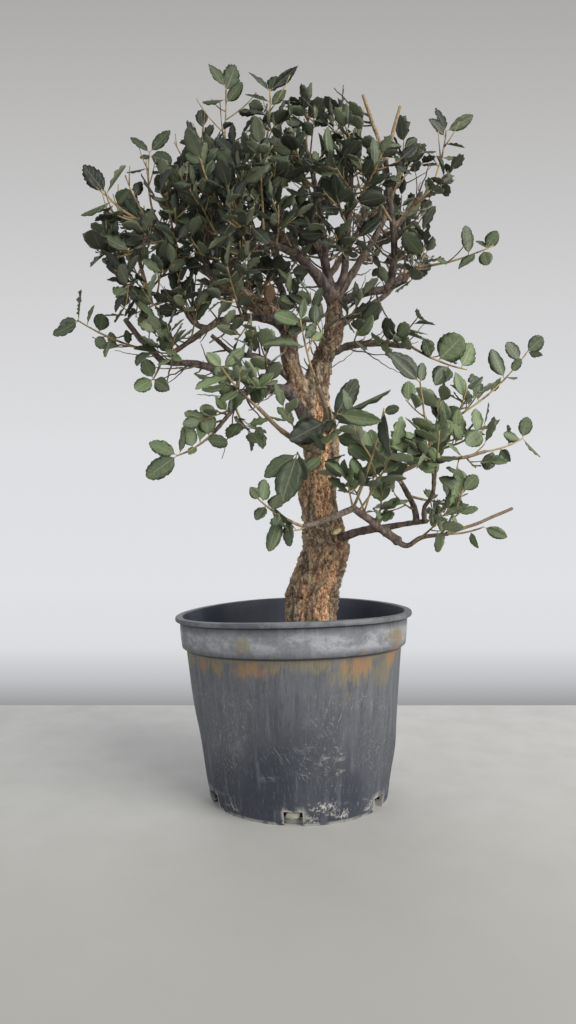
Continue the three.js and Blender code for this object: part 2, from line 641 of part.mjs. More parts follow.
// Main twig and side twigs of one spray
function twigsOf([limb, share, tip, leafCount, forkCount], spray) {
  const start = limbCurves[limb].getPoint(share);
  const startRadius = limbRadius(limb, share);
  const main = clearTwig(start, point(...tip), startRadius, spray);
  if (!main) return [];
  const radius = Math.min(mostTwigRadius, startRadius - 0.2);
  const twigs = [{ curve: main, from: radius, to: leastTwigRadius, leafCount }];
  const draw = drawsFrom(forkSeed + spray);
  for (let i = 0; i < forkCount; i++) {
    const at = firstFork + forkSpacing * i + forkJitter * draw();
    const heading = leafHeading(main, at, leafTurn * i + fullTurn * draw(), forkLean);
    const length = main.getLength() * (forkShare + forkJitter * draw());
    const forkStart = main.getPoint(at);
    const forkTip = forkStart.clone().addScaledVector(heading, length);
    const fork = clearTwig(forkStart, forkTip, 1, spray);
    if (fork) twigs.push({ curve: fork, from: forkRadius, to: leastTwigRadius, leafCount: forkLeaves });
  }
  return twigs;
}

// A direction that leaves the twig at an angle of lean, at a turn about it, and lifts a little
function leafHeading(curve, share, turn, lean) {
  const ahead = curve.getTangent(share);
  const side = Math.abs(ahead.z) < 0.9 ? ahead.clone().cross(up).normalize() : point(1, 0, 0);
  const over = side.clone().cross(ahead).normalize();
  return ahead.clone().multiplyScalar(Math.cos(lean))
    .addScaledVector(side, Math.sin(lean) * Math.cos(turn))
    .addScaledVector(over, Math.sin(lean) * Math.sin(turn))
    .addScaledVector(up, 0.12)
    .normalize();
}

// One leaf: root, frame, length, width and the droop of its tip
function leafOn(curve, share, turn, scale, draw) {
  const lean = share > tipShare ? tipLean : leastLean + leanRange * draw();
  const heading = leafHeading(curve, share, turn, lean);
  const root = curve.getPoint(Math.min(share, lastRoot));
  const outward = point(root.x - trunkRoute[0][0], root.y, 0).normalize();
  const face = up.clone().multiplyScalar(facesUp).addScaledVector(outward, facesOut)
    .add(point(draw() - 0.5, draw() - 0.5, draw() - 0.5).multiplyScalar(faceJitter));
  face.addScaledVector(heading, -face.dot(heading)).normalize();
  const length = scale * (shortestLeaf + (longestLeaf - shortestLeaf) * draw());
  return {
    root,
    heading,
    face,
    side: heading.clone().cross(face),
    length,
    width: length * (0.9 + 0.25 * draw()),
    droop: 0.02 + 0.14 * draw(),
  };
}

// A leaf of the outline, from its root on the twig to its given tip
function placedLeaf(curve, [share, tip, ratio, turn]) {
  const root = curve.getPoint(Math.min(share, lastRoot));
  const span = point(...tip).sub(root);
  const length = span.length();
  const heading = span.clone().normalize();
  const face = point(0, -1, 0).applyAxisAngle(heading, turn);
  face.addScaledVector(heading, -face.dot(heading)).normalize();
  return {
    root,
    heading,
    face,
    side: heading.clone().cross(face),
    length,
    width: length * ratio / widestShare,
    droop: outlineDroop,
  };
}

// A place on the blade: u along it, v across it and w off its face, in millimetres but for u
function onLeaf(leaf, u, v, w) {
  const fall = leaf.droop * leaf.length * Math.max(u, 0) ** 2;
  return leaf.root.clone()
    .addScaledVector(leaf.heading, u * leaf.length)
    .addScaledVector(leaf.side, v)
    .addScaledVector(leaf.face, w - fall);
}

function bladeHalfWidth(leaf, u) {
  const i = bladeStations.findIndex((station) => station >= u);
  const share = (u - bladeStations[i - 1]) / (bladeStations[i] - bladeStations[i - 1]);
  return leaf.width * THREE.MathUtils.lerp(bladeHalfWidths[i - 1], bladeHalfWidths[i], share);
}

function leafSamples(leaf, spray) {
  const samples = [];
  for (let i = 1; i <= samplesAlong; i++) {
    const u = i / samplesAlong;
    for (let j = -2; j <= 2; j++) {
      const place = onLeaf(leaf, u, bladeHalfWidth(leaf, u) * j / 2, 0);
      samples.push({ place, spray, inner: u < innerShare });
    }
  }
  return samples;
}

// A sphere of three sides and three rings becomes the blade: two edges and the rib below them.
function leafSolid(leaf) {
  const unit = closedUnit(new THREE.SphereGeometry(1, 3, 4));
  return solidOf(reshape(unit, (place) => {
    const ring = Math.round(Math.acos(-place.y) / (Math.PI / 4));
    const edge = -Math.sign(Math.round(place.z * 10));
    const tooth = bladeHalfWidths[ring] > 0.1 ? edge * toothShift * (ring % 2 ? 1 : -1) : 0;
    const depth = edge === 0 ? ribDepths[ring] : 0;
    return onLeaf(leaf, bladeStations[ring] + tooth, edge * bladeHalfWidths[ring] * leaf.width, -depth);
  }));
}

// The leaves of one twig, from its tip back to its bare part, each turned and tried until it is clear
function leavesOf({ curve, leafCount }, spray, twigNumber, scale) {
  const leaves = [];
  for (let i = 0; i < leafCount; i++) {
    const share = 1 - (1 - barePart) * i / leafCount;
    const draw = drawsFrom(spray * spraySeed + twigNumber * twigSeed + i + 1);
    const firstTurn = fullTurn * draw();
    for (let attempt = 0; attempt < leafTries; attempt++) {
      const turn = firstTurn + leafTurn * i + tryTurn * attempt;
      const leaf = leafOn(curve, share, turn, scale * (1 - tryShrink * attempt), draw);
      const samples = leafSamples(leaf, spray);
      if (isClear(samples)) {
        keep(samples);
        leaves.push(leaf);
        break;
      }
    }
  }
  return leaves;
}

// The leaves of the outline that one spray has room for
function outlineOf(spray) {
  return (outlineLeaves[spray] ?? []).flatMap((row) => {
    const leaf = placedLeaf(twigSets[spray - 1][0].curve, row);
    const samples = leafSamples(leaf, spray);
    if (!isClear(samples, outlineRoom)) return [];
    keep(samples);
    return [leaf];
  });
}

function spraySolid(twigs, leaves) {
  const bars = twigs.map(({ curve, from, to }) => {
    const steps = Math.max(2, Math.round(curve.getLength() / twigStep));
    return bar(stationsAlong(curve, steps, (share) => from + (to - from) * share), 3);
  });
  return wasm.Manifold.union([...bars, ...leaves.map(leafSolid)]);
}

const materials = {
  plastic: new THREE.MeshStandardMaterial({ color: 0x454a53, roughness: 0.7, metalness: 0 }),
  earth: new THREE.MeshStandardMaterial({ color: 0x2c231c, roughness: 1, metalness: 0 }),
  bark: new THREE.MeshStandardMaterial({ color: 0x5b4738, roughness: 0.95, metalness: 0 }),
  foliage: new THREE.MeshStandardMaterial({ color: 0x35483a, roughness: 0.55, metalness: 0 }),
};

function named(name, geometry, material) {
  const mesh = new THREE.Mesh(geometry, material);
  mesh.name = name;
  return mesh;
}

const bonsai = new THREE.Group();
bonsai.add(named('pot', potGeometry(), materials.plastic));
bonsai.add(named('soil', soilGeometry(trunkSolid(seatGap)), materials.earth));
bonsai.add(named('tree_wood', geometryOf(woodSolid(0)), materials.bark));

const swollenWood = woodSolid(seatGap);
const twigSets = sprays.map((spec, i) => twigsOf(spec, i + 1));
sprays.forEach((spec, i) => {
  const leaves = outlineOf(i + 1);
  twigSets[i].forEach((twig, j) => leaves.push(...leavesOf(twig, i + 1, j, spec[5])));
  const spray = largestBody(spraySolid(twigSets[i], leaves).subtract(swollenWood));
  const number = String(i + 1).padStart(2, '0');
  bonsai.add(named(`spray_${number}`, geometryOf(spray), materials.foliage));
});

export default bonsai;
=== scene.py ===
# A cork oak bonsai in a weathered plastic nursery pot. Growth is worked out in millimetres, +Z up.
import math
from itertools import product

import bmesh
import bpy
import numpy as np
from mathutils import Matrix, Vector, kdtree, noise


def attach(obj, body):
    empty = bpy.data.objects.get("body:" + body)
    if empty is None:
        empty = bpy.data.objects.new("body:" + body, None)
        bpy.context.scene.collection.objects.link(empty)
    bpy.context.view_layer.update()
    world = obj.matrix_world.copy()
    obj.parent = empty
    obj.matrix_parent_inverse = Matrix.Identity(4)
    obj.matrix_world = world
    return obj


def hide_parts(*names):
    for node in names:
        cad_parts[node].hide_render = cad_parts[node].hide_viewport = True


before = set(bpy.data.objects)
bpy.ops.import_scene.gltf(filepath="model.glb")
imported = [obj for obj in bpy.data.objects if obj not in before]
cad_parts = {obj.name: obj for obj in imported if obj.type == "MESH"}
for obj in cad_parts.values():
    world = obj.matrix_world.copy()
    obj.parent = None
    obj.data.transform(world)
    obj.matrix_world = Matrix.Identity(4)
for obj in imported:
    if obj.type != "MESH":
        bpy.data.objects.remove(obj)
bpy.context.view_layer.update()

mm = 0.001
up = Vector((0, 0, 1))
noise.seed_set(5)     # so that noise_vector says the same at every run

# Wiring of shader nodes


class Wiring:  # the nodes of a material, a group or the world, and the colour as painted so far
    def __init__(self, tree):
        self.tree = tree
        self.colour = None

    def feed(self, socket, value):
        if isinstance(value, bpy.types.NodeSocket):
            self.tree.links.new(value, socket)
        else:
            socket.default_value = value

    def node(self, kind, inputs=None, **settings):
        made = self.tree.nodes.new("ShaderNode" + kind)
        for name, value in settings.items():
            setattr(made, name, value)
        for name, value in (inputs or {}).items():
            self.feed(made.inputs[name], value)
        return made

    def calc(self, operation, *values):
        return self.node("Math", dict(enumerate(values)), operation=operation).outputs[0]

    def times(self, product, *others):
        for value in others:
            product = self.calc("MULTIPLY", product, value)
        return product

    def most(self, mask, *others):
        for value in others:
            mask = self.calc("MAXIMUM", mask, value)
        return mask

    def scaled(self, value, gain, base):
        return self.calc("MULTIPLY_ADD", value, gain, base)

    def step(self, value, low, high):  # 0 at low, 1 at high, eased between
        span = {0: value, 1: low, 2: high}
        return self.node("MapRange", span, interpolation_type="SMOOTHSTEP").outputs[0]

    def mix(self, share, first, second, blend="MIX"):
        first, second = ((*value, 1) if isinstance(value, tuple) else value for value in (first, second))
        colours = {0: share, 6: first, 7: second}
        return self.node("Mix", colours, data_type="RGBA", blend_type=blend).outputs[2]

    def coat(self, mask, colour, strength=1):  # paints over the colour so far
        share = mask if strength == 1 else self.times(mask, strength)
        self.colour = self.mix(share, self.colour, colour)

    def stretched(self, scale=(1, 1, 1)):  # the piece's own coordinates
        place = self.node("TexCoord").outputs["Object"]
        return self.node("Mapping", {"Vector": place, "Scale": scale}).outputs[0]

    def noise(self, vector, scale, detail=4.0, rough=0.55, distortion=0.0):
        return self.node("TexNoise", {
            "Vector": vector, "Scale": scale, "Detail": detail, "Roughness": rough,
            "Distortion": distortion}).outputs["Fac"]

    def attribute(self, name):
        return self.node("Attribute", attribute_name=name).outputs["Fac"]

    def blotches(self, vector, scale, low, high):
        patches = {"Vector": vector, "Scale": scale, "Low": low, "High": high}
        return self.node("Group", patches, node_tree=blotchGroup).outputs["Mask"]

    def grain(self, vector, scale, contrast):  # mottles the colour so far and gives a height
        specks = {"Vector": vector, "Scale": scale, "Contrast": contrast, "Colour": self.colour}
        fine = self.node("Group", specks, node_tree=grainGroup)
        self.colour = fine.outputs["Colour"]
        return fine.outputs["Height"]

    def close(self, rough, relief=None, strength=0.5, depth=0.001):
        shader = self.node("BsdfPrincipled", {"Base Color": self.colour, "Roughness": rough})
        if relief is not None:
            bump = self.node("Bump", {"Height": relief, "Strength": strength, "Distance": depth})
            self.feed(shader.inputs["Normal"], bump.outputs[0])
        self.node("OutputMaterial", {"Surface": shader.outputs[0]})


def newMaterial(name):
    material = bpy.data.materials.new(name)
    material.use_nodes = True
    material.node_tree.nodes.clear()
    return material, Wiring(material.node_tree)


def newGroup(name, inputs, outputs):
    group = bpy.data.node_groups.new(name, "ShaderNodeTree")
    for socket, (kind, value) in inputs.items():
        made = group.interface.new_socket(socket, in_out="INPUT", socket_type="NodeSocket" + kind)
        if value is not None:
            made.default_value = value
    for socket, kind in outputs.items():
        group.interface.new_socket(socket, in_out="OUTPUT", socket_type="NodeSocket" + kind)
    return Wiring(group), group.nodes.new("NodeGroupInput").outputs, group.nodes.new("NodeGroupOutput").inputs


def buildGrain():  # fine mottling and the height that goes with it
    wires, given, out = newGroup("fineGrain", {
        "Vector": ("Vector", None), "Scale": ("Float", 300.0), "Contrast": ("Float", 0.3),
        "Colour": ("Color", (0.5, 0.5, 0.5, 1))}, {"Colour": "Color", "Height": "Float"})
    fine = wires.noise(given["Vector"], given["Scale"], 5, 0.65)
    gain = wires.times(wires.scaled(wires.calc("SUBTRACT", fine, 0.5), given["Contrast"], 0.5), 2.0)
    shade = wires.node("CombineColor", {0: gain, 1: gain, 2: gain}).outputs[0]
    wires.feed(out["Colour"], wires.mix(1.0, given["Colour"], shade, "MULTIPLY"))
    wires.feed(out["Height"], fine)
    return wires.tree


def buildBlotches():  # soft-edged patches
    wires, given, out = newGroup("blotches", {
        "Vector": ("Vector", None), "Scale": ("Float", 30.0), "Low": ("Float", 0.5),
        "High": ("Float", 0.6)}, {"Mask": "Float"})
    soft = wires.noise(given["Vector"], given["Scale"], 3, 0.6, 0.6)
    wires.feed(out["Mask"], wires.step(soft, given["Low"], given["High"]))
    return wires.tree


def buildSpot():  # a ragged patch round one place
    wires, given, out = newGroup("raggedSpot", {
        "Vector": ("Vector", None), "Centre": ("Vector", (0, 0, 0)), "Reach": ("Vector", (1, 1, 1)),
        "Fineness": ("Float", 70.0), "Ragged": ("Float", 2.0), "Drawn": ("Vector", (1, 1, 1))},
        {"Mask": "Float"})

    def vectorMath(operation, *values):
        return wires.node("VectorMath", dict(enumerate(values)), operation=operation).outputs

    away = vectorMath("SUBTRACT", given["Vector"], given["Centre"])[0]
    length = vectorMath("LENGTH", vectorMath("DIVIDE", away, given["Reach"])[0])["Value"]
    drawn = vectorMath("MULTIPLY", given["Vector"], given["Drawn"])[0]
    uneven = wires.calc("SUBTRACT", wires.noise(drawn, given["Fineness"], 5, 0.7), 0.5)
    wires.feed(out["Mask"], wires.step(wires.scaled(uneven, given["Ragged"], length), 1.35, 0.25))
    return wires.tree


grainGroup = buildGrain()
blotchGroup = buildBlotches()
spotGroup = buildSpot()

# Camera, stage and light

camera = {"place": (-0.0104, -0.698, 0.2453), "pitch": 91.3, "lens": 26}
bpy.ops.object.camera_add(location=camera["place"], rotation=(math.radians(camera["pitch"]), 0, 0))
bpy.context.object.data.lens = camera["lens"]
bpy.context.scene.camera = bpy.context.object
bpy.context.scene.view_settings.view_transform = "Standard"

stage = {
    "wallPlace": 0.336, "size": 9.0,
    "floorShadeToLight": [(0.405, 0.40, 0.365), (0.62, 0.615, 0.60)],     # near and far: painted shade towards the front, painted light towards the wall
    "floorDepths": (-0.45, 0.3), "floorSpeckle": 22,
    "wallGlowByHeight": {     # painted light by height in metres: a bright band low on the wall, painted shade at the floor line and towards the top
        0.0: (0.33, 0.33, 0.335), 0.035: (0.52, 0.53, 0.55), 0.08: (0.71, 0.72, 0.74),
        0.16: (0.745, 0.755, 0.78), 0.36: (0.73, 0.735, 0.755), 0.55: (0.65, 0.65, 0.66),
        0.8: (0.515, 0.51, 0.505), 1.0: (0.41, 0.405, 0.4)},
    "ambient": (0.80, 0.81, 0.84, 1), "ambientStrength": 0.5, "room": (0.62, 0.625, 0.63, 1),
}
lights = {  # place, what it faces, size, watts, colour
    "key": ((1.05, -1.0, 0.95), (0, 0, 0.22), 1.2, 27, (1.0, 0.98, 0.95)),
    "fill": ((-1.3, -0.9, 0.7), (0, 0, 0.3), 1.4, 5, (0.93, 0.97, 1.0)),
    "back": ((-0.4, 1.5, 1.4), (0, 0, 0.4), 1.5, 10, (1.0, 1.0, 1.0)),
}


def placeFloor():
    bpy.ops.mesh.primitive_plane_add(size=stage["size"])
    floor = bpy.context.object
    floor.name = "floor"
    material, wires = newMaterial("paleFloor")
    speckle = wires.step(wires.noise(wires.stretched(), stage["floorSpeckle"]), 0.3, 0.8)
    depth = wires.node("SeparateXYZ", {0: wires.stretched()}).outputs[1]
    # painted shade near the front, painted light further back, by depth
    wires.colour = wires.mix(wires.step(depth, *stage["floorDepths"]), *stage["floorShadeToLight"])
    wires.coat(speckle, stage["floorShadeToLight"][0], 0.3)
    wires.close(0.7)
    floor.data.materials.append(material)
    return floor


def placeWall():  # it shows from the front alone and takes no part in the light; it glows with painted light, with painted shade at the floor line and towards the top
    bpy.ops.mesh.primitive_plane_add(
        size=stage["size"], location=(0, stage["wallPlace"], 0), rotation=(math.radians(90), 0, 0))
    wall = bpy.context.object
    wall.name = "wall"
    bpy.ops.object.transform_apply()
    material, wires = newMaterial("paintedLightWall")
    height = wires.node("SeparateXYZ", {0: wires.stretched()}).outputs[2]
    ramp = wires.node("ValToRGB", {0: height})
    marks = ramp.color_ramp.elements
    while len(marks) < len(stage["wallGlowByHeight"]):
        marks.new(0.5)
    for mark, (place, colour) in zip(marks, stage["wallGlowByHeight"].items()):
        mark.position = place
        mark.color = (*colour, 1)
    glow = wires.node("Emission", {0: ramp.outputs[0]}).outputs[0]
    hidden = wires.node("BsdfTransparent").outputs[0]
    behind = wires.node("NewGeometry").outputs["Backfacing"]
    shown = wires.node("MixShader", {0: behind, 1: glow, 2: hidden}).outputs[0]
    wires.node("OutputMaterial", {"Surface": shown})
    wall.data.materials.append(material)
    wall.visible_diffuse = wall.visible_glossy = wall.visible_shadow = False
    return wall


def lightRoom():
    world = bpy.data.worlds.new("softRoom")
    world.use_nodes = True
    wires = Wiring(world.node_tree)
    ambient = world.node_tree.nodes["Background"]
    wires.feed(ambient.inputs[0], stage["ambient"])
    wires.feed(ambient.inputs[1], stage["ambientStrength"])
    seen = wires.node("Background", {0: stage["room"]}).outputs[0]
    straight = wires.node("LightPath").outputs["Is Camera Ray"]
    both = wires.node("MixShader", {0: straight, 1: ambient.outputs[0], 2: seen}).outputs[0]
    wires.feed(world.node_tree.nodes["World Output"].inputs[0], both)
    bpy.context.scene.world = world
    for name, (place, target, size, watts, colour) in lights.items():
        bpy.ops.object.light_add(type="AREA", location=place)
        lamp = bpy.context.object
        lamp.name = name + "Light"
        lamp.data.size = size
        lamp.data.energy = watts
        lamp.data.color = colour
        lamp.rotation_euler = (Vector(target) - Vector(place)).to_track_quat("-Z", "Y").to_euler()


placeFloor()
placeWall()
lightRoom()
print("stage: ready")

# Working by hand, in code


def activate(piece):
    bpy.ops.object.select_all(action="DESELECT")
    piece.select_set(True)
    bpy.context.view_layer.objects.active = piece


def applyModifier(piece, kind, **settings):
    modifier = piece.modifiers.new(kind.lower(), kind)
    for name, value in settings.items():
        setattr(modifier, name, value)
    activate(piece)
    bpy.ops.object.modifier_apply(modifier=modifier.name)


def startEditing(piece):
    activate(piece)
    bpy.ops.object.mode_set(mode="EDIT")
    bpy.ops.mesh.select_mode(type="VERT")


def stopEditing():
    bpy.ops.object.mode_set(mode="OBJECT")


def selectPoints(rule):  # in edit mode
    mesh = bmesh.from_edit_mesh(bpy.context.object.data)
    for vertex in mesh.verts:
        vertex.select = bool(rule(vertex.co))
    mesh.select_mode = {"VERT"}
    mesh.select_flush_mode()
    bmesh.update_edit_mesh(bpy.context.object.data)


def joinPieces(pieces):
    activate(pieces[0])
    for piece in pieces:
        piece.select_set(True)
    if len(pieces) > 1:
        bpy.ops.object.join()
    return pieces[0]


def pointsOf(mesh, what="co"):
    flat = np.empty(len(mesh.vertices) * 3)
    mesh.vertices.foreach_get(what, flat)
    return flat.reshape(-1, 3)


def setPoints(mesh, points):
    mesh.vertices.foreach_set("co", np.ascontiguousarray(points, dtype=np.float32).ravel())
    mesh.update()


def setValues(mesh, name, values):  # one value for each point, or the same for all
    layer = mesh.attributes.get(name) or mesh.attributes.new(name, "FLOAT", "POINT")
    layer.data.foreach_set("value", np.ones(len(mesh.vertices), dtype=np.float32) * np.float32(values))


def outwardFaces(piece):
    startEditing(piece)
    bpy.ops.mesh.select_all(action="SELECT")
    bpy.ops.mesh.remove_doubles(threshold=1e-6)
    bpy.ops.mesh.normals_make_consistent(inside=False)
    stopEditing()


def turnedShape(segments, rings):  # a closed shape from a circle, drawn out ring by ring
    rings = [(radius * mm, height * mm) for radius, height in rings]
    bpy.ops.mesh.primitive_circle_add(vertices=segments, radius=rings[0][0], location=(0, 0, rings[0][1]))
    piece = bpy.context.object
    bpy.ops.object.transform_apply()
    startEditing(piece)
    bpy.ops.mesh.select_all(action="SELECT")
    for (fromRadius, fromHeight), (radius, height) in zip(rings, rings[1:]):
        bpy.ops.mesh.extrude_region_move(TRANSFORM_OT_translate={"value": (0, 0, height - fromHeight)})
        ratio = radius / fromRadius
        bpy.ops.transform.resize(value=(ratio, ratio, 1), center_override=(0, 0, height))
    for radius, height in (rings[0], rings[-1]):
        selectPoints(lambda place: abs(place.z - height) < 1e-5 and math.hypot(*place.xy) < radius + 1e-4)
        bpy.ops.mesh.edge_face_add()
    stopEditing()
    outwardFaces(piece)
    return piece


def smoothBelow(piece, degrees):
    activate(piece)
    bpy.ops.object.shade_smooth_by_angle(angle=math.radians(degrees))


def finishPiece(piece, name, node, material=None):
    piece.name = name
    piece.data.name = name
    if material:
        piece.data.materials.clear()
        piece.data.materials.append(material)
    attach(piece, "root")
    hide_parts(node)


def drawsFrom(seed):  # a repeatable run of draws between 0 and 1
    state = (seed * 2654435761) & 0xFFFFFFFF

    def draw():
        nonlocal state
        state = (state * 1664525 + 1013904223) & 0xFFFFFFFF
        return state / 4294967296

    return draw


def ease(value, low, high):
    share = np.clip((value - low) / (high - low), 0, 1)
    return share * share * (3 - 2 * share)


# Pot

pot = {
    "segments": 160, "height": 170.8, "shift": -5.3, "leanPower": 1.5, "sideDrop": 3.2, "leftDrop": 3.1,
    "wallTop": 99.9, "smoothBelow": 32,
    "rings": [  # radius and height, from the underside up the outside, over the lip and down inside
        (30, 0), (32.5, 2.5), (73.4, 2.5), (74.4, 0), (81.8, 0), (82.4, 0.6), (82.8, 3), (83.3, 6),
        (83.8, 9), (84.3, 12), (85.2, 18), (86.7, 28), (88.2, 38), (89.7, 48), (91.2, 58), (92.5, 67),
        (93.6, 75), (94.7, 86), (95.8, 97), (96.9, 108), (97.9, 119), (98.9, 129), (99.6, 136),
        (99.9, 139.6), (100.4, 140.4), (103.0, 140.7), (103.7, 141.3), (104.0, 142.4), (104.5, 147),
        (105.1, 153), (105.5, 159), (105.6, 164), (105.7, 165.6), (106.3, 166.2), (108.7, 166.3),
        (109.6, 166.8), (110, 167.8), (110, 169.4), (109.5, 170.4), (108.4, 170.8), (104.4, 170.8),
        (103.5, 170.4), (103.1, 169.2), (102.6, 160), (101.6, 148), (101.2, 142), (99.6, 139), (97.4, 136.5),
        (96.4, 126), (94.4, 106), (92.4, 86), (91.2, 75), (87.4, 50), (83.4, 25), (80, 5.5), (30, 5.5)],
    "notchAngles": [-64, -4, 56, 116, 176, 236], "notchSize": (16, 12, 12), "baseRadius": 82.4,
    "notchCorner": 0.22, "notchWear": (2.1, 3.5),     # the pale edge's reach, in degrees and height
    "outside": ([0, 75, 140, 141, 171], [82.4, 93.6, 99.9, 103.8, 105.6]),     # heights and radii
    # patches: angle round from the front, height, reach across and down, strength
    "olive": [
        (-24, 149.5, 8, 8, 0.7), (9, 135, 26, 6, 0.6), (-10, 134, 14, 6, 0.45), (-43, 132, 14, 8, 0.6),
        (27.5, 124, 15, 10, 0.7), (27, 108, 8, 7, 0.35), (50, 126, 15, 15, 0.55), (59, 153.5, 18, 7, 0.8),
        (-66, 132, 16, 10, 0.55), (84, 131, 18, 10, 0.55), (163, 133, 24, 10, 0.55), (-150, 131, 20, 11, 0.5),
        (-112, 151, 12, 7, 0.5)],
    "rusty": [
        (-54, 129, 17, 8, 0.75), (-22.5, 130, 19, 8, 0.85), (34, 133, 18, 9, 0.85), (57, 136, 12, 9, 0.75),
        (62, 151, 8, 6, 0.5), (118, 132, 20, 10, 0.65), (-128, 133, 16, 9, 0.6), (-172, 127, 14, 9, 0.5)],
    "lime": [
        (14.5, 16, 9, 3.6, 0.9), (25, 7, 6, 3, 0.9), (20, 10, 6, 3, 0.7), (9, 5, 4, 4, 0.6),
        (48, 9, 6, 4, 0.5), (-75, 12, 7, 4, 0.4), (140, 9, 10, 4, 0.6), (-140, 7, 8, 4, 0.6)],
    "scuffs": [
        (23, 57, 4.5, 4, 0.5), (21.5, 45, 9, 2.6, 0.45), (14, 57, 3.5, 3, 0.4), (-16, 40, 9, 3, 0.25),
        (-34, 62, 8, 5, 0.2), (5, 64, 7, 5, 0.2), (90, 50, 10, 5, 0.3), (-120, 44, 12, 5, 0.3)],
    "scratches": [(0.55, 1000, 0.60, 0.70), (-0.35, 850, 0.62, 0.72), (1.25, 800, 0.64, 0.72)],
    "dents": [  # angle, height, reach and depth, inwards where positive
        (198, 56, 34, 2.4), (-14, 47, 26, -1.9), (-120, 96, 40, 0.9), (60, 70, 45, 1.4), (130, 40, 30, -1.2)],
    "colours": {
        "foot": (0.038, 0.044, 0.062), "wall": (0.124, 0.131, 0.148), "paleStreak": (0.25, 0.26, 0.28),
        "darkStreak": (0.040, 0.042, 0.050), "fibre": (0.26, 0.27, 0.30), "drip": (0.030, 0.031, 0.036),
        "collar": (0.42, 0.43, 0.46), "lipDark": (0.105, 0.110, 0.122), "lipPale": (0.205, 0.21, 0.225),
        "olive": (0.245, 0.205, 0.105), "rusty": (0.31, 0.18, 0.080), "seam": (0.022, 0.022, 0.024),
        "lime": (0.56, 0.55, 0.50), "insideDark": (0.036, 0.042, 0.064), "insidePale": (0.074, 0.080, 0.106)},
}


def leanAt(height):  # how far the settled pot stands to the side
    return pot["shift"] * (1 - (1 - np.clip(height / pot["height"], 0, 1)) ** pot["leanPower"])


def makeNotches():
    width, depth, height = (size * mm for size in pot["notchSize"])
    reach = (pot["baseRadius"] - 1) * mm
    cutters = []
    for angle in pot["notchAngles"]:
        turn = math.radians(angle)
        bpy.ops.mesh.primitive_cube_add(
            size=1, location=(reach * math.sin(turn), -reach * math.cos(turn), 0), rotation=(0, 0, turn),
            scale=(width, depth, 2 * height))
        cutters.append(bpy.context.object)
    cutter = joinPieces(cutters)
    bpy.ops.object.transform_apply()
    startEditing(cutter)
    selectPoints(lambda place: place.z > 0)
    bpy.ops.mesh.bevel(offset=pot["notchCorner"] * height, segments=3, affect="VERTICES")
    stopEditing()
    return cutter


def settlePot(mesh):  # the moulded pot has leaned, its rim has gone out of round and its wall has dents
    points = pointsOf(mesh) / mm
    height = points[:, 2].copy()
    share = np.clip(height / pot["height"], 0, 1)
    radius = np.hypot(points[:, 0], points[:, 1])
    right = points[:, 0] / np.maximum(radius, 1e-6)
    edge = np.minimum(radius / pot["wallTop"], 1)
    angle = np.arctan2(points[:, 1], points[:, 0])
    dent = np.zeros(len(points))
    for turn, level, reach, depth in pot["dents"]:
        away = np.abs((angle - math.radians(turn) + math.pi) % (2 * math.pi) - math.pi) * 90
        dent += depth * np.exp(-(away ** 2 + (height - level) ** 2) / (0.7 * reach) ** 2)
    onWall = ease(radius, 70, 80) * ease(height, 4, 22)
    squeeze = 1 - dent * onWall / np.maximum(radius, 1)
    points[:, 0] = points[:, 0] * squeeze + leanAt(height)
    points[:, 1] *= squeeze
    points[:, 2] -= (pot["sideDrop"] * right ** 2 - pot["leftDrop"] * right) * share ** 2 * edge
    setPoints(mesh, points * mm)


def markPot(mesh):  # values by place that the material reads
    points = pointsOf(mesh) / mm
    radius = np.hypot(points[:, 0], points[:, 1])
    outer = np.interp(points[:, 2], *pot["outside"])
    angles = np.degrees(np.arctan2(points[:, 0], -points[:, 1]))
    away = np.min([np.abs((angles - turn + 180) % 360 - 180) for turn in pot["notchAngles"]], axis=0)
    width, _, high = pot["notchSize"]
    half = math.degrees(0.5 * width / pot["baseRadius"])
    beside, above = pot["notchWear"]
    nearNotch = ease(away, half + beside, half - 0.3) * ease(points[:, 2], high + above, high + 0.5)
    setValues(mesh, "inside", ease(outer - radius, 1.1, 1.7) * ease(points[:, 2], 5, 12))
    setValues(mesh, "mouldedHeight", points[:, 2] * mm)
    setValues(mesh, "footEdge", np.maximum(nearNotch, ease(points[:, 2], 2.6, 0.4)))


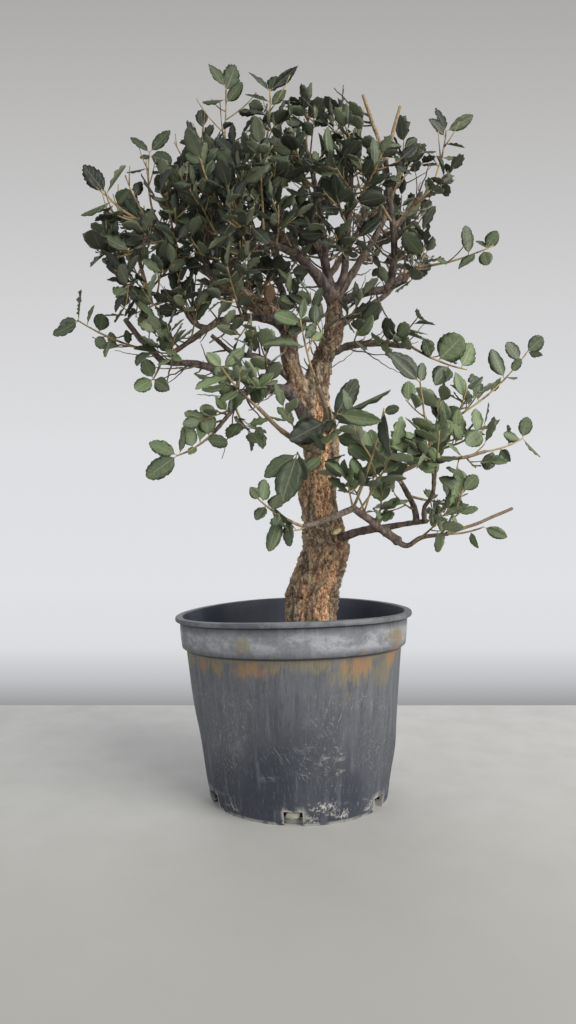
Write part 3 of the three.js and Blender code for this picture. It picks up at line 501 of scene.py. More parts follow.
def potMaterial():
    material, wires = newMaterial("weatheredPlastic")
    colours = pot["colours"]
    even = wires.stretched()
    height = wires.attribute("mouldedHeight")     # before the pot leaned, in metres
    inside = wires.attribute("inside")

    def band(low, full, still, none):    # 1 between full and still, eased to 0 at low and none
        return wires.times(wires.step(height, low, full), wires.step(height, none, still))

    def patches(kind, fineness, ragged, drawn):
        mask = 0.0
        for angle, level, across, down, strength in pot[kind]:
            turn = math.radians(angle)
            radius = float(np.interp(level, *pot["outside"]))
            centre = Vector((radius * math.sin(turn) + leanAt(level), -radius * math.cos(turn), level)) * mm
            spot = wires.node("Group", {
                "Vector": even, "Centre": centre, "Reach": Vector((across, across, down)) * mm,
                "Fineness": fineness, "Ragged": ragged, "Drawn": drawn}, node_tree=spotGroup)
            mask = wires.most(mask, wires.times(spot.outputs["Mask"], strength))
        return mask

    def scratches(turn, fineness, low, high):     # fine lines that lean by the turn
        lean = wires.node("Mapping", {"Vector": even, "Rotation": (0, turn, 0)}).outputs[0]
        drawn = wires.node("Mapping", {"Vector": lean, "Scale": (1, 1, 0.04)}).outputs[0]
        return wires.step(wires.noise(drawn, fineness, 2, 0.5), low, high)

    fibre = wires.noise(wires.stretched((1, 1, 0.016)), 820, 3, 0.6)     # fine scratches down the wall
    streak = wires.noise(wires.stretched((1, 1, 0.07)), 130, 4, 0.6)
    broad = wires.noise(wires.stretched((1, 1, 0.6)), 20)
    # the wall is dark blue-black towards the foot and grey higher up
    darkFootToGreyWall = wires.scaled(wires.step(height, 0.015, 0.125), 0.62, wires.scaled(broad, 1.5, -0.58))
    wires.colour = wires.mix(wires.step(darkFootToGreyWall, 0.0, 1.0), colours["foot"], colours["wall"])
    wires.coat(wires.step(streak, 0.52, 0.74), colours["paleStreak"], 0.35)
    wires.coat(wires.step(streak, 0.48, 0.3), colours["darkStreak"], 0.35)
    wires.coat(wires.step(fibre, 0.56, 0.7), colours["fibre"], 0.22)
    drips = wires.times(wires.step(fibre, 0.42, 0.34), wires.step(height, 0.03, 0.1))
    wires.coat(drips, colours["drip"], 0.5)
    bleachAndSheen = wires.step(wires.noise(wires.stretched((1, 1, 1.6)), 42, 5, 0.75), 0.40, 0.60)
    # the pale collar band is partly bleached plastic, partly a painted highlight
    shine = wires.times(band(0.141, 0.149, 0.156, 0.165), wires.scaled(bleachAndSheen, 0.65, 0.35))
    wires.coat(shine, colours["collar"], 0.78)
    lip = wires.mix(bleachAndSheen, colours["lipDark"], colours["lipPale"])
    wires.coat(wires.step(height, 0.1655, 0.167), lip, 0.75)
    # ochre stains under the collar and on it
    thin = wires.scaled(wires.step(fibre, 0.34, 0.52), 0.4, 0.6)
    line = wires.times(band(0.134, 0.138, 0.139, 0.1398), wires.blotches(even, 34, 0.34, 0.54), 0.6)
    olive = wires.most(patches("olive", 110, 3.6, (1, 1, 0.3)), line)
    wires.coat(wires.times(olive, thin), colours["olive"])
    wires.coat(wires.times(patches("rusty", 110, 3.6, (1, 1, 0.3)), thin), colours["rusty"])
    # painted shade: dark lines in the crease at the foot of the collar and under the lip
    seam = wires.most(band(0.1380, 0.1390, 0.1402, 0.1408), band(0.1642, 0.1652, 0.1662, 0.1668))
    wires.coat(seam, colours["seam"], 0.7)
    # crossing scratches and scuffs low on the wall, lime along the foot
    lines = wires.most(*(scratches(*row) for row in pot["scratches"]))
    worn = wires.times(wires.blotches(even, 24, 0.42, 0.6), band(0.015, 0.04, 0.095, 0.13))
    rubbed = wires.blotches(wires.stretched((0.5, 1, 1)), 300, 0.44, 0.60)
    rubbed = wires.times(patches("scuffs", 160, 5.0, (0.5, 1, 1)), rubbed, 0.9)
    lime = wires.times(wires.blotches(even, 210, 0.52, 0.62), wires.blotches(even, 25, 0.50, 0.58))
    lime = wires.times(lime, wires.step(height, 0.022, 0.004), 0.6)
    crusts = wires.times(patches("lime", 210, 6.0, (1, 1, 1)), wires.blotches(even, 330, 0.42, 0.58))
    rim = wires.times(wires.attribute("footEdge"), wires.blotches(even, 75, 0.40, 0.52), 0.75)
    wires.coat(wires.most(wires.times(lines, worn, 0.3), rubbed, lime, crusts, rim), colours["lime"])
    wires.coat(inside, wires.mix(wires.step(broad, 0.3, 0.7), colours["insideDark"], colours["insidePale"]))
    fine = wires.grain(even, 1300, 0.4)
    rough = wires.calc("ADD", wires.scaled(inside, -0.12, 0.5), wires.times(fibre, 0.3))
    relief = wires.calc("ADD", wires.times(fibre, 0.6), wires.times(fine, 0.4))
    wires.close(rough, relief, 0.35, 0.0005)
    return material


def makePot():
    piece = turnedShape(pot["segments"], pot["rings"])
    cutter = makeNotches()
    applyModifier(piece, "BOOLEAN", object=cutter, operation="DIFFERENCE", solver="EXACT")
    bpy.data.objects.remove(cutter)
    markPot(piece.data)
    settlePot(piece.data)
    smoothBelow(piece, pot["smoothBelow"])
    finishPiece(piece, "weatheredPot", "pot", potMaterial())


makePot()
print("pot: turned, notched and settled")

# Soil

soil = {
    "segments": 120, "height": 137, "mound": 4, "moundReach": (40, 92), "smoothBelow": 50,
    "wall": [(78, 5.8), (90.4, 75), (95.6, 133.5)], "radius": 96, "ringStep": 2.1, "rings": 43,
    "waves": [(1.5, 24, (0, 0, 0)), (1.3, 9, (3, 1, 5)), (0.7, 3.6, (9, 2, 1))],     # height, width, offset
    "seed": 77, "crumbs": 420, "litter": 26, "crumbSizes": (0.8, 2.4), "crumbReach": 90, "crumbShift": -5.0,
    "litterLength": 1.6,
    "lump": {"place": (-6.4, -80.0, 8.2), "size": (7.0, 2.4, 4.0)},     # behind the front notch
    "colours": {
        "damp": (0.028, 0.019, 0.013), "dry": (0.062, 0.043, 0.029), "litter": (0.17, 0.105, 0.06),
        "pale": (0.44, 0.41, 0.35)},
}


def soilLevel(x, y):  # height of the surface, in millimetres
    level = soil["height"] + soil["mound"] * (1 - ease(math.hypot(x, y), *soil["moundReach"]))
    for rise, width, offset in soil["waves"]:
        level += rise * noise.noise(Vector((x, y, 0)) / width + Vector(offset))
    return level


def soilMaterial():
    material, wires = newMaterial("pottingSoil")
    colours = soil["colours"]
    even = wires.stretched()
    wires.colour = wires.mix(wires.blotches(even, 60, 0.4, 0.65), colours["damp"], colours["dry"])
    tone = wires.attribute("crumbTone")
    wires.coat(wires.step(tone, 0.2, 0.6), colours["litter"])
    wires.coat(wires.step(tone, 0.75, 0.95), colours["pale"])
    fine = wires.times(wires.grain(even, 1100, 0.7), 0.6)
    wires.close(0.95, wires.calc("ADD", wires.noise(even, 420, 6, 0.7), fine), 0.9, 0.0012)
    return material


def makeHeap():
    top = [(soil["radius"] - soil["ringStep"] * i, soil["height"]) for i in range(soil["rings"])]
    heap = turnedShape(soil["segments"], soil["wall"] + top)
    points = pointsOf(heap.data) / mm
    for point in points:
        if point[2] > soil["height"] - 1:
            point[2] = soilLevel(point[0], point[1])
    points[:, 0] += leanAt(points[:, 2])
    setPoints(heap.data, points * mm)
    setValues(heap.data, "crumbTone", 0)
    return heap


def makeCrumbs():
    bpy.ops.mesh.primitive_ico_sphere_add(subdivisions=1, radius=1)
    crumb = bpy.context.object
    draw = drawsFrom(soil["seed"])
    small, large = soil["crumbSizes"]
    crumbs = []
    for i in range(soil["crumbs"]):
        turn, reach = 2 * math.pi * draw(), soil["crumbReach"] * math.sqrt(draw())
        x, y = reach * math.cos(turn), reach * math.sin(turn)
        size = small + (large - small) * draw() ** 2.5
        long = soil["litterLength"] if i < soil["litter"] else 1
        length, width = size * (0.7 + 0.6 * draw()) * long, size * (0.7 + 0.6 * draw())
        scale = Matrix.Diagonal((length, width, size * 0.7, 1))
        spin = Matrix.Rotation(6.28 * draw(), 4, Vector((draw() - 0.5, draw() - 0.5, 1.2)).normalized())
        place = Vector((x + soil["crumbShift"], y, soilLevel(x, y) + 0.3 * size))
        copy = crumb.copy()
        copy.data = crumb.data.copy()
        copy.data.transform(Matrix.Scale(mm, 4) @ Matrix.Translation(place) @ spin @ scale)
        setValues(copy.data, "crumbTone", draw())
        bpy.context.collection.objects.link(copy)
        crumbs.append(copy)
    lump = soil["lump"]
    crumb.data.transform(Matrix.Translation(Vector(lump["place"]) * mm)
                         @ Matrix.Diagonal((*(Vector(lump["size"]) * mm), 1)))
    setValues(crumb.data, "crumbTone", 1)
    return [*crumbs, crumb]


def makeSoil():
    heap = joinPieces([makeHeap(), *makeCrumbs()])
    smoothBelow(heap, soil["smoothBelow"])
    finishPiece(heap, "pottingSoil", "soil", soilMaterial())


makeSoil()
print("soil: heaped and crumbled")

# The tree's growth

trunk = {
    "radii": [27, 25, 24.5, 23.5, 23, 20.5, 18.5, 18, 17.5, 16.5, 15],
    "route": [
        [11, 0, 96], [11, 0, 158], [13, 0, 185], [19, 0, 205], [25, 0, 225], [23, 0, 242],
        [20, 0, 261], [17, 0, 284], [21, 0, 310], [20, 0, 339], [13, 0, 365]],
    "ridge": 0.05,
}
limbs = {  # radius at both ends, then the points that the middle line runs through
    "leader": [13, 8, [[14, 0, 350], [17, 2, 386], [24, 4, 409], [32, 6, 428], [34, 8, 450], [34, 8, 470]]],
    "leftStem": [9.5, 8, [
        [12, 0, 350], [-2, -6, 381], [-9, -8, 410], [-11, -8, 433], [-25, -6, 447], [-44, -2, 460],
        [-63, 2, 473], [-80, 6, 485]]],
    "lowLeft": [6.5, 3, [
        [8, -4, 350], [-9, -10, 372], [-27, -16, 376], [-45, -22, 381], [-67, -28, 388],
        [-93, -30, 395], [-127, -24, 398]]],
    "lowLeftStub": [2.8, 2.4, [[-125, -24, 398], [-145, -18, 419], [-162, -14, 440]]],
    "deadLeft": [3, 1.8, [[-9, -6, 387], [-36, -20, 403], [-60, -26, 406], [-80, -30, 421]]],
    "midLeft": [4.5, 3.5, [[-12, -8, 433], [-29, -16, 440], [-50, -20, 440], [-76, -24, 435]]],
    "midLeftLow": [3, 2.2, [[-74, -24, 436], [-94, -30, 420], [-119, -30, 402]]],
    "midLeftUp": [2.6, 1.8, [
        [-74, -24, 436], [-84, -27, 429], [-96, -32, 432], [-104, -38, 443], [-118, -44, 450],
        [-136, -50, 455]]],
    "hangLeft": [1.8, 1.5, [[-134, -50, 454], [-139, -54, 474], [-142, -56, 489]]],
    "lowerLeft": [2.6, 1.6, [[-38, -20, 379], [-51, -36, 364], [-61, -48, 348], [-75, -56, 329]]],
    "frontLow": [4, 3.4, [[28, -2, 233], [51, -28, 242], [71, -44, 245], [84, -60, 235]]],
    "frontBack": [3.5, 3, [[84, -60, 235], [63, -84, 248], [42, -104, 262]]],
    "frontLeft": [2.6, 1.8, [[43, -103, 262], [19, -122, 252], [1, -136, 247]]],
    "lowRight": [3, 2, [[71, -44, 245], [88, -48, 249], [112, -50, 252]]],
    "lowRightTwo": [2.6, 1.6, [[83, -60, 235], [92, -64, 231], [104, -66, 238], [127, -66, 241]]],
    "lowRightSpur": [1.6, 1.3, [[125, -66, 241], [150, -62, 249], [184, -58, 263]]],
    "riserOne": [2.8, 2, [[102, -50, 250], [101, -46, 263], [95, -42, 278], [86, -38, 295]]],
    "riserTwo": [2.2, 1.6, [[109, -50, 251], [108, -56, 264], [115, -60, 277], [113, -70, 308]]],
    "riserThree": [2.2, 1.5, [[86, -38, 294], [109, -30, 306], [129, -20, 327], [149, -12, 351]]],
    "rightLowFront": [1.7, 1.4, [[113, -70, 306], [138, -66, 306], [160, -62, 312]]],
    "rightMid": [4, 2.5, [[30, 6, 414], [53, 4, 421], [81, 0, 421], [106, -4, 417]]],
    "rightUp": [5, 2.6, [
        [34, 8, 460], [60, 2, 470], [83, -4, 473], [89, -8, 494], [89, -8, 524], [86, -6, 553],
        [82, -4, 597]]],
    "stubLeft": [2.1, 1.5, [[82, -4, 594], [71, -8, 624], [60, -12, 653]]],
    "stubRight": [2.1, 1.5, [[82, -4, 591], [89, -2, 621], [97, 2, 650]]],
    "rightTop": [2.4, 1.6, [[89, -8, 529], [109, -4, 551], [124, 0, 567]]],
    "rightOut": [3, 2, [[82, -4, 472], [97, -10, 477], [107, -16, 488]]],
    "rightUnder": [3.4, 2, [[36, 10, 438], [56, 14, 454], [83, 20, 472], [103, 26, 497]]],
    "crownLeft": [6, 2.6, [
        [34, 8, 462], [18, 0, 485], [-1, -10, 502], [-22, -20, 523], [-34, -28, 548], [-38, -30, 571]]],
    "crownLeftTwo": [3.6, 2, [[-1, -10, 502], [-27, -34, 505], [-52, -54, 509]]],
    "crownMid": [4.4, 2, [
        [34, 8, 466], [27, 10, 498], [24, 14, 528], [19, 20, 565], [13, 24, 601], [7, 24, 622]]],
    "crownMidTwo": [4.6, 2, [
        [34, 8, 464], [43, 2, 490], [45, -8, 515], [46, -22, 537], [47, -36, 559], [45, -42, 581]]],
    "crownRight": [4.2, 2, [[35, 8, 464], [53, 16, 495], [74, 26, 530], [90, 34, 565], [97, 38, 593]]],
    "crownBack": [4.6, 2.2, [[33, 10, 462], [30, 40, 494], [23, 72, 536], [9, 96, 582]]],
    "crownBackRight": [3.4, 2, [[30, 46, 500], [54, 76, 543], [75, 94, 587]]],
    "crownBackLeft": [4.2, 2, [[-16, -6, 442], [-16, 34, 482], [-37, 66, 521], [-61, 86, 560]]],
    "topLeft": [4.6, 2.2, [[-79, 6, 484], [-90, 2, 505], [-85, -6, 527], [-79, -16, 549], [-73, -22, 572]]],
    "topLeftTwo": [3.6, 2, [[-79, 6, 484], [-101, 16, 503], [-124, 24, 524], [-144, 30, 557]]],
    "topLeftThree": [4.2, 2, [
        [-63, 2, 473], [-69, 22, 505], [-76, 38, 541], [-93, 50, 578], [-95, 56, 609]]],
    "topLeftFront": [3, 2, [[-73, 4, 480], [-62, -22, 489], [-47, -48, 494]]],
    "leftTop": [2.8, 1.7, [
        [-89, 1, 506], [-100, -20, 514], [-115, -34, 515], [-132, -44, 514], [-144, -50, 519]]],
    "frontStub": [4, 3, [[21, -4, 318], [13, -46, 315], [7, -74, 313]]],
    "frontUp": [2.6, 1.6, [[7, -72, 313], [21, -96, 334], [13, -120, 358]]],
    "frontUpLeft": [2.4, 1.6, [[7, -72, 313], [-14, -96, 324], [-34, -116, 341]]],
}
sprays = [  # limb, share along it, tip, leaves on the main twig, its side twigs, leaf scale, extra side twigs
    ["topLeft", 1, [-69, -10, 663], 0, 1, 1.05, 4], ["crownLeft", 1, [-27, -24, 651], 0, 1, 1.05, 4],
    ["crownMid", 1, [10, 16, 664], 5, 1, 1, 4], ["crownMid", 0.8, [-17, 50, 652], 4, 1, 1, 4],
    ["crownMidTwo", 1, [38, -36, 627], 5, 1, 1.05, 3], ["crownRight", 1, [105, 30, 630], 4, 1, 1.1, 3],
    ["rightTop", 1, [142, 6, 629], 0, 0, 0.95, 3], ["rightTop", 0.5, [137, -34, 571], 4, 0, 0.95, 3],
    ["leftTop", 1, [-173, -46, 544], 0, 0, 1, 3], ["leftTop", 0.5, [-117, -60, 548], 4, 1, 1, 3],
    ["hangLeft", 1, [-168, -58, 490], 5, 1, 1, 3], ["hangLeft", 0.5, [-146, -86, 446], 5, 1, 1, 2],
    ["topLeftTwo", 1, [-148, 30, 621], 0, 0, 0.95, 3], ["topLeftTwo", 0.6, [-173, 52, 574], 5, 1, 1, 3],
    ["lowLeftStub", 0.25, [-198, -44, 431], 0, 0, 0.95, 1],
    ["lowLeft", 1, [-131, -40, 379], 0, 0, 0.85, 0], ["midLeftLow", 1, [-108, -66, 410], 4, 0, 0.95, 2],
    ["lowerLeft", 1, [-103, -84, 306], 0, 0, 1.15, 0], ["lowerLeft", 0.55, [-42, -84, 326], 4, 0, 1, 1],
    ["lowLeft", 0.42, [-67, -66, 359], 4, 0, 1, 1], ["rightMid", 1, [157, -10, 394], 0, 0, 1.2, 1],
    ["rightMid", 0.5, [88, -30, 420], 4, 1, 1.05, 2], ["riserThree", 1, [219, 2, 416], 0, 0, 0.95, 0],
    ["riserThree", 0.5, [161, -54, 332], 0, 0, 1, 1], ["rightOut", 1, [178, -26, 505], 0, 0, 0.95, 1],
    ["rightLowFront", 1, [196, -50, 325], 0, 0, 1, 0], ["lowRightTwo", 0.9, [134, -88, 277], 0, 0, 1, 1],
    ["lowRightTwo", 1, [155, -74, 247], 0, 0, 1, 0], ["riserOne", 0.6, [144, -14, 272], 4, 0, 1, 1],
    ["frontLeft", 1, [-33, -150, 268], 0, 0, 0.95, 1], ["frontStub", 0.9, [-3, -112, 306], 0, 0, 1.2, 0],
    ["frontUpLeft", 1, [-61, -134, 369], 0, 0, 0.95, 1], ["frontUp", 1, [-1, -140, 404], 0, 0, 0.95, 1],
    ["frontUp", 0.5, [26, -156, 330], 0, 0, 1.2, 0], ["frontBack", 1, [61, -150, 335], 0, 0, 1, 1],
    ["riserTwo", 1, [95, -110, 363], 0, 0, 1.05, 1], ["riserTwo", 0.7, [106, -130, 321], 5, 0, 1, 1],
    ["rightUnder", 1, [130, 44, 525], 3, 1, 1, 4], ["topLeftThree", 1, [-100, 66, 664], 3, 1, 1, 4],
    ["topLeftThree", 0.6, [-92, 92, 590], 3, 1, 1, 4], ["topLeftFront", 1, [-60, -92, 528], 3, 1, 1, 4],
    ["topLeftFront", 0.6, [-92, -66, 540], 3, 1, 1, 4], ["crownLeftTwo", 1, [-84, -84, 556], 3, 1, 1, 4],
    ["crownLeftTwo", 0.6, [-34, -84, 568], 3, 1, 1, 4], ["crownBack", 1, [3, 140, 612], 3, 1, 1, 4],
    ["crownBack", 0.6, [-20, 108, 560], 3, 1, 1, 4], ["crownBackRight", 1, [95, 130, 606], 3, 1, 1, 4],
    ["crownBackRight", 0.5, [104, 104, 534], 3, 1, 1, 4],
    ["crownBackLeft", 1, [-84, 126, 586], 3, 1, 1, 4], ["crownBackLeft", 0.5, [-70, 100, 496], 3, 1, 1, 4],
    ["crownRight", 0.55, [128, 52, 582], 3, 1, 1, 4], ["crownMidTwo", 0.6, [70, -72, 566], 3, 1, 1, 4],
    ["crownMid", 0.5, [-8, -46, 604], 3, 1, 1, 4], ["rightUp", 0.72, [40, -58, 597], 3, 1, 1, 4],
    ["midLeft", 0.7, [-62, -74, 468], 3, 1, 1, 3], ["leftStem", 0.68, [-28, 54, 524], 3, 1, 1, 4],
]
# The leaves that draw the tree's outline, for each spray by its place in the list above: how far along
# the main twig, the leaf's tip, its width as a share of its length, and how far it is turned away
outlineLeaves = {
    1: [
        [0.98, [-85, -14, 682], 0.64, 0.2], [0.94, [-60, 2, 691], 0.5, 0.5],
        [0.82, [-53, -16, 663], 0.5, 0.3], [0.86, [-92, -6, 651], 0.5, 0.8]],
    2: [
        [0.98, [-47, -20, 671], 0.42, 0.4], [0.99, [-1, -29, 670], 0.42, 0.5],
        [0.86, [-50, -28, 645], 0.45, 0.4], [0.81, [-12, -30, 647], 0.5, 0.3],
        [0.7, [-57, -19, 635], 0.45, 1.0], [0.96, [-21, -18, 668], 0.6, 0.2]],
    7: [
        [1, [133, 8, 653], 0.5, 0.5], [0.9, [124, -2, 636], 0.62, 0.2], [0.99, [168, 3, 642], 0.42, 0.7],
        [0.8, [159, 2, 611], 0.5, -1.1], [0.58, [154, -2, 596], 0.5, -0.7]],
    9: [
        [1, [-191, -52, 567], 0.56, 0.1], [0.98, [-157, -42, 572], 0.5, -1.2],
        [0.75, [-194, -52, 523], 0.45, 0.9]],
    13: [
        [1, [-127, 26, 640], 0.42, 0.4], [0.98, [-167, 30, 636], 0.42, 0.5],
        [0.93, [-125, 22, 607], 0.5, 0.3], [0.95, [-155, 22, 610], 0.6, 0.2],
        [0.74, [-171, 26, 599], 0.45, 1.1]],
    15: [
        [1, [-197, -40, 460], 0.45, -1.1], [0.98, [-217, -52, 416], 0.46, 0.3],
        [0.99, [-216, -38, 430], 0.5, 0.6], [0.87, [-182, -50, 443], 0.5, -1.0],
        [0.7, [-180, -24, 443], 0.55, 0.4], [0.52, [-172, -50, 397], 0.5, 1.0],
        [0.3, [-155, -40, 423], 0.5, 0.7]],
    16: [
        [0.98, [-140, -38, 398], 0.7, 0.2], [0.99, [-146, -46, 369], 0.72, 0.2],
        [1, [-116, -42, 369], 0.85, 0.1]],
    18: [
        [1, [-127, -90, 288], 0.52, 0.1], [0.98, [-127, -80, 318], 0.5, 0.4],
        [0.93, [-97, -82, 330], 0.42, 0.5], [0.6, [-97, -72, 334], 0.6, 0.3],
        [0.24, [-62, -70, 318], 0.55, 0.5], [0.5, [-94, -78, 308], 0.6, 0.4],
        [0.15, [-82, -62, 348], 0.7, 0.3], [0.4, [-90, -56, 350], 0.5, 0.8]],
    21: [
        [0.5, [152, -15, 424], 0.8, 0.1], [0.9, [166, 2, 422], 0.6, 0.3],
        [0.38, [116, -18, 421], 0.72, 0.2], [0.7, [126, -18, 378], 0.8, 0.2]],
    23: [
        [0.96, [231, -2, 427], 0.72, 0.2], [0.97, [236, 12, 412], 0.5, 0.6],
        [0.84, [197, -2, 422], 0.7, 0.3], [0.7, [209, -6, 405], 0.6, 0.3],
        [0.6, [183, -2, 416], 0.55, 0.4], [0.62, [209, 6, 391], 0.5, -0.9],
        [0.38, [191, -4, 388], 0.6, 0.4], [0.24, [166, 4, 394], 0.5, 0.6]],
    24: [
        [0.97, [144, -62, 318], 0.72, 0.1], [1, [174, -58, 340], 0.6, 0.4],
        [0.85, [158, -40, 353], 0.5, 0.5], [0.6, [134, -56, 336], 0.6, 0.4],
        [0.45, [146, -42, 344], 0.55, 0.6], [0.3, [120, -50, 330], 0.6, 0.4]],
    25: [
        [0.68, [152, -30, 522], 0.5, 0.3], [0.9, [180, -32, 516], 0.75, 0.2],
        [0.92, [162, -24, 510], 0.6, 0.5], [0.78, [144, -34, 481], 0.5, 0.3],
        [0.86, [171, -32, 485], 0.7, 0.3], [0.42, [125, -34, 489], 0.5, 0.6]],
    26: [
        [0.99, [199, -54, 343], 0.7, 0.2], [0.94, [177, -58, 328], 0.55, 0.4],
        [1, [213, -48, 309], 0.5, -1.0], [0.6, [186, -40, 338], 0.5, 1.0],
        [0.35, [180, -66, 303], 0.65, 0.4], [0.2, [158, -68, 296], 0.6, 0.5]],
    27: [
        [1, [145, -92, 289], 0.75, 0.2], [0.9, [113, -96, 287], 0.65, 0.3],
        [0.84, [134, -86, 264], 0.6, 0.5]],
    28: [[1, [174, -76, 238], 0.5, 0.3], [0.6, [149, -78, 229], 0.5, 0.8]],
    30: [
        [0.95, [-38, -154, 276], 0.7, 0.3], [0.8, [-34, -158, 252], 0.6, 0.5],
        [0.88, [-27, -138, 283], 0.5, 0.5], [0.5, [-25, -154, 229], 0.42, 0.5],
        [0.36, [-23, -146, 240], 0.5, 0.6], [0.34, [-9, -158, 233], 0.4, 0.6],
        [0.76, [-16, -158, 271], 0.55, 0.3]],
    31: [
        [1, [-16, -118, 265], 0.52, 0.2], [0.98, [-30, -106, 287], 0.45, 0.4],
        [0.96, [3, -110, 284], 0.5, 0.5]],
    32: [
        [1, [-72, -140, 379], 0.6, 0.3], [0.98, [-44, -130, 384], 0.45, 0.4],
        [0.82, [-81, -140, 352], 0.45, 0.9], [0.5, [-61, -142, 342], 0.5, 0.6]],
    33: [
        [0.98, [2, -144, 419], 0.42, 0.3], [0.95, [-21, -136, 410], 0.62, 0.3],
        [0.62, [-30, -146, 384], 0.45, 0.8], [0.7, [11, -136, 403], 0.5, 0.5]],
    34: [
        [1, [58, -160, 324], 0.42, 0.2], [0.6, [43, -134, 360], 0.42, 0.3],
        [0.94, [65, -154, 350], 0.3, -1.4], [0.7, [19, -146, 319], 0.62, 0.2],
        [0.1, [-9, -112, 316], 0.62, 0.2]],
    35: [[1, [64, -156, 299], 0.4, 0.9], [0.96, [72, -152, 335], 0.55, 0.4]],
    36: [[1, [69, -116, 385], 0.55, 0.2], [0.98, [99, -106, 379], 0.5, 0.4]],
}
fillers = [  # leafy twigs that only this model has: limb, share along it, tip, leaf scale, side twigs
    ["riserThree", 0.35, [127, -40, 366], 1.1, 1], ["riserThree", 0.3, [134, -30, 350], 1, 1],
    ["riserTwo", 1, [99, -120, 320], 1.2, 1], ["riserTwo", 0.9, [92, -100, 312], 1, 1],
    ["frontBack", 0.8, [60, -96, 300], 1.1, 1], ["rightLowFront", 0.4, [136, -80, 306], 1, 1],
    ["rightLowFront", 0.7, [158, -66, 318], 1.1, 0], ["riserThree", 0.6, [166, -40, 338], 1, 1],
    ["rightLowFront", 0.8, [172, -66, 304], 1, 0], ["lowRightTwo", 0.5, [122, -90, 262], 1, 1],
    ["rightLowFront", 0.6, [152, -60, 298], 1, 1], ["riserOne", 0.3, [80, -70, 275], 1, 1],
    ["frontLow", 0.6, [70, -80, 285], 1, 1], ["frontStub", 0.6, [30, -100, 330], 1.1, 1],
    ["frontUp", 0.2, [20, -120, 296], 1.1, 0], ["frontBack", 1, [36, -120, 286], 1.1, 1],
    ["riserOne", 0.8, [68, -60, 306], 1.1, 1], ["rightMid", 0.3, [52, -36, 424], 1.1, 1],
    ["rightMid", 0.75, [108, -34, 438], 1.1, 0], ["riserThree", 0.9, [152, -30, 374], 1.1, 1],
    ["riserOne", 0.9, [104, -50, 330], 1, 1], ["frontBack", 0.9, [70, -128, 306], 1.1, 1],
    ["lowRight", 1, [134, -40, 268], 1, 1], ["frontLeft", 0.9, [-12, -150, 244], 1, 0],
    ["frontStub", 0.8, [-14, -96, 344], 1.1, 0], ["deadLeft", 0.5, [-40, -60, 418], 0.9, 0],
    ["frontBack", 0.75, [30, -112, 290], 1, 1], ["crownMidTwo", 0.3, [31, -60, 501], 1.1, 2],
    ["leader", 0.5, [10, -60, 440], 1.1, 1], ["rightOut", 0.5, [100, -40, 468], 1, 1],
    ["crownLeft", 0.9, [-12, -50, 548], 1.1, 2], ["midLeftUp", 0.8, [-128, -70, 436], 1, 1],
    ["midLeftLow", 0.9, [-130, -50, 402], 1, 0], ["riserThree", 0.95, [166, -20, 372], 1, 1],
    ["lowerLeft", 0.8, [-66, -70, 318], 1, 1], ["lowLeft", 0.9, [-120, -50, 420], 1, 1],
    ["midLeftLow", 0.8, [-126, -50, 432], 1, 1], ["lowerLeft", 0.6, [-84, -76, 336], 1, 1],
    ["lowerLeft", 0.3, [-64, -60, 372], 1.1, 1], ["lowLeft", 0.5, [-40, -56, 372], 1.1, 1],
    ["lowLeft", 0.6, [-72, -56, 374], 1, 1], ["lowLeft", 0.35, [-30, -50, 402], 1.1, 0],
    ["midLeftUp", 0.9, [-120, -66, 470], 1, 3], ["leftTop", 0.8, [-136, -70, 488], 1, 3],
    ["leftTop", 0.5, [-110, -60, 478], 1, 3], ["hangLeft", 0.3, [-160, -50, 462], 1, 2],
    ["midLeftUp", 0.5, [-100, -60, 452], 1, 2], ["hangLeft", 0.2, [-140, -74, 440], 1, 2],
    ["leftTop", 1, [-166, -70, 520], 1.1, 2], ["hangLeft", 1, [-170, -66, 478], 1.05, 2],
    ["midLeft", 0.6, [-56, -56, 410], 1, 2], ["midLeftLow", 0.6, [-90, -50, 446], 1, 2],
    ["crownMidTwo", 0.5, [32, -66, 532], 1.1, 2], ["crownMidTwo", 0.75, [28, -70, 562], 1.1, 3],
    ["crownMid", 0.5, [36, -10, 550], 1, 2], ["crownMid", 0.35, [6, -30, 528], 1, 2],
    ["leader", 0.4, [-8, -60, 450], 1, 1], ["leader", 0.6, [58, -30, 458], 1, 1],
    ["crownLeft", 0.7, [-20, -70, 570], 1.1, 3], ["crownLeft", 0.45, [-24, -66, 530], 1.1, 3],
    ["rightUp", 0.45, [110, -50, 494], 1.3, 0], ["rightUp", 0.5, [112, -30, 516], 1.1, 0],
    ["rightUp", 0.85, [100, -30, 590], 1.2, 1], ["crownRight", 0.9, [112, 20, 622], 1.1, 1],
    ["topLeftThree", 0.8, [-74, 20, 622], 1.1, 3], ["topLeftTwo", 0.9, [-120, 0, 580], 1.1, 2],
    ["topLeft", 0.5, [-110, -40, 570], 1.1, 3], ["topLeftFront", 0.9, [-56, -80, 568], 1.1, 3],
    ["crownLeftTwo", 0.9, [-62, -96, 500], 1, 2],
]
